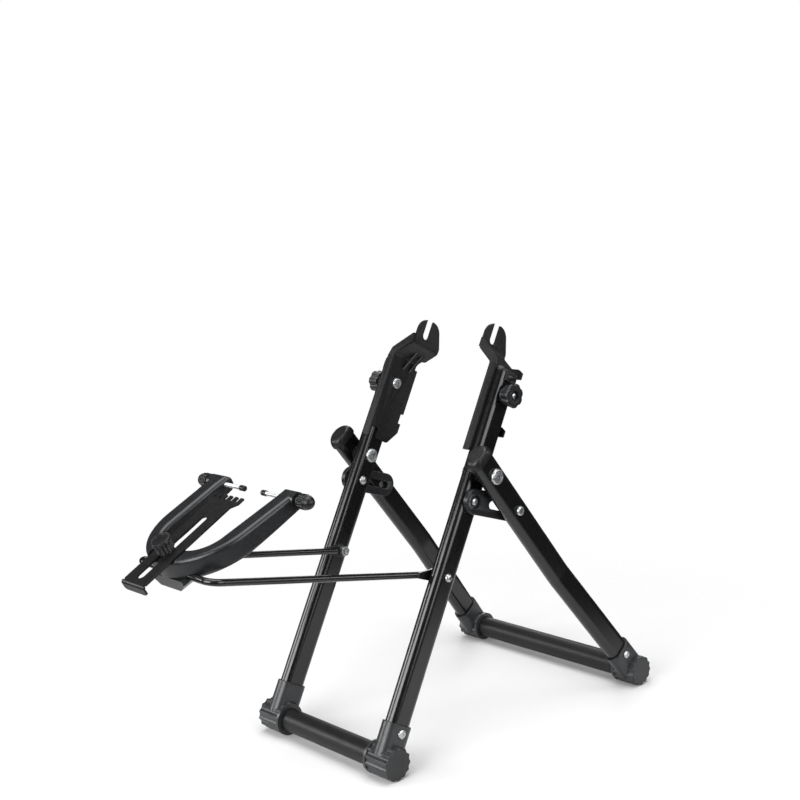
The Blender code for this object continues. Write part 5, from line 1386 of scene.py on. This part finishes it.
def make_floor():
    """A pale floor that fades into the backdrop with distance from the stand."""
    mesh = primitive(bmesh.ops.create_grid, x_segments=1, y_segments=1, size=FLOOR_FADE_END)
    floor = linked("floor", mesh)
    floor.location.z = -FLOOR_DROP
    material = bpy.data.materials.new("floor")
    material.use_nodes = True
    tree = material.node_tree
    shader = tree.nodes["Principled BSDF"]
    shader.inputs["Base Color"].default_value = (FLOOR_GREY, FLOOR_GREY, FLOOR_GREY, 1)
    shader.inputs["Roughness"].default_value = 0.9
    shader.inputs["Specular IOR Level"].default_value = 0.1
    coordinates = tree.nodes.new("ShaderNodeTexCoord")
    distance = tree.nodes.new("ShaderNodeVectorMath")
    distance.operation = "LENGTH"
    tree.links.new(coordinates.outputs["Object"], distance.inputs[0])
    fade = tree.nodes.new("ShaderNodeMapRange")
    fade.interpolation_type = "SMOOTHSTEP"
    fade.inputs["From Min"].default_value = FLOOR_FADE_START
    fade.inputs["From Max"].default_value = FLOOR_FADE_END
    tree.links.new(distance.outputs["Value"], fade.inputs["Value"])
    clear = tree.nodes.new("ShaderNodeBsdfTransparent")
    mix = tree.nodes.new("ShaderNodeMixShader")
    tree.links.new(fade.outputs["Result"], mix.inputs["Fac"])
    tree.links.new(shader.outputs["BSDF"], mix.inputs[1])
    tree.links.new(clear.outputs["BSDF"], mix.inputs[2])
    tree.links.new(mix.outputs["Shader"], tree.nodes["Material Output"].inputs["Surface"])
    mesh.materials.append(material)


def make_world():
    """A white backdrop where nothing stands in front of it, and a faint even glow on the stand."""
    world = bpy.data.worlds.new("studio")
    world.use_nodes = True
    tree = world.node_tree
    glow = tree.nodes["Background"]
    glow.inputs["Color"].default_value = (1, 1, 1, 1)
    glow.inputs["Strength"].default_value = GLOW
    backdrop = tree.nodes.new("ShaderNodeBackground")
    backdrop.inputs["Color"].default_value = (1, 1, 1, 1)
    path = tree.nodes.new("ShaderNodeLightPath")
    mix = tree.nodes.new("ShaderNodeMixShader")
    tree.links.new(path.outputs["Is Camera Ray"], mix.inputs["Fac"])
    tree.links.new(glow.outputs["Background"], mix.inputs[1])
    tree.links.new(backdrop.outputs["Background"], mix.inputs[2])
    tree.links.new(mix.outputs["Shader"], tree.nodes["World Output"].inputs["Surface"])
    bpy.context.scene.world = world


def make_studio():
    make_floor()
    make_world()
    softbox("overhead", (0, 0, 2.2), (0, 0.01, 0), 2.2, 2.2, 64)
    softbox("front", (0.31, -2.2, 0.9), (0, 0, 0.25), 1.5, 1.5, 66)
    softbox("side", (2.18, 0.3, 0.9), (0, 0, 0.25), 1.6, 1.4, 32)
    softbox("left", (-1.42, -1.42, 0.75), (0, 0, 0.02), 0.9, 0.7, 18)
    softbox("right", (1.4, 1.4, 0.85), (0, 0, 0.25), 0.8, 0.5, 7)
    softbox("back", (-1.6, 1.8, 1.4), (0, 0, 0.2), 0.6, 1.6, 9)
    bpy.context.scene.view_settings.view_transform = "Standard"


make_front_frame()
make_rear_frame()
make_fold_pivots()
make_links()
make_dropouts()
make_star_knobs()
make_wire_arm()
make_yoke()
make_feelers()
make_gauge()
make_thumb_screw()
make_camera()
make_studio()

bpy.context.view_layer.update()
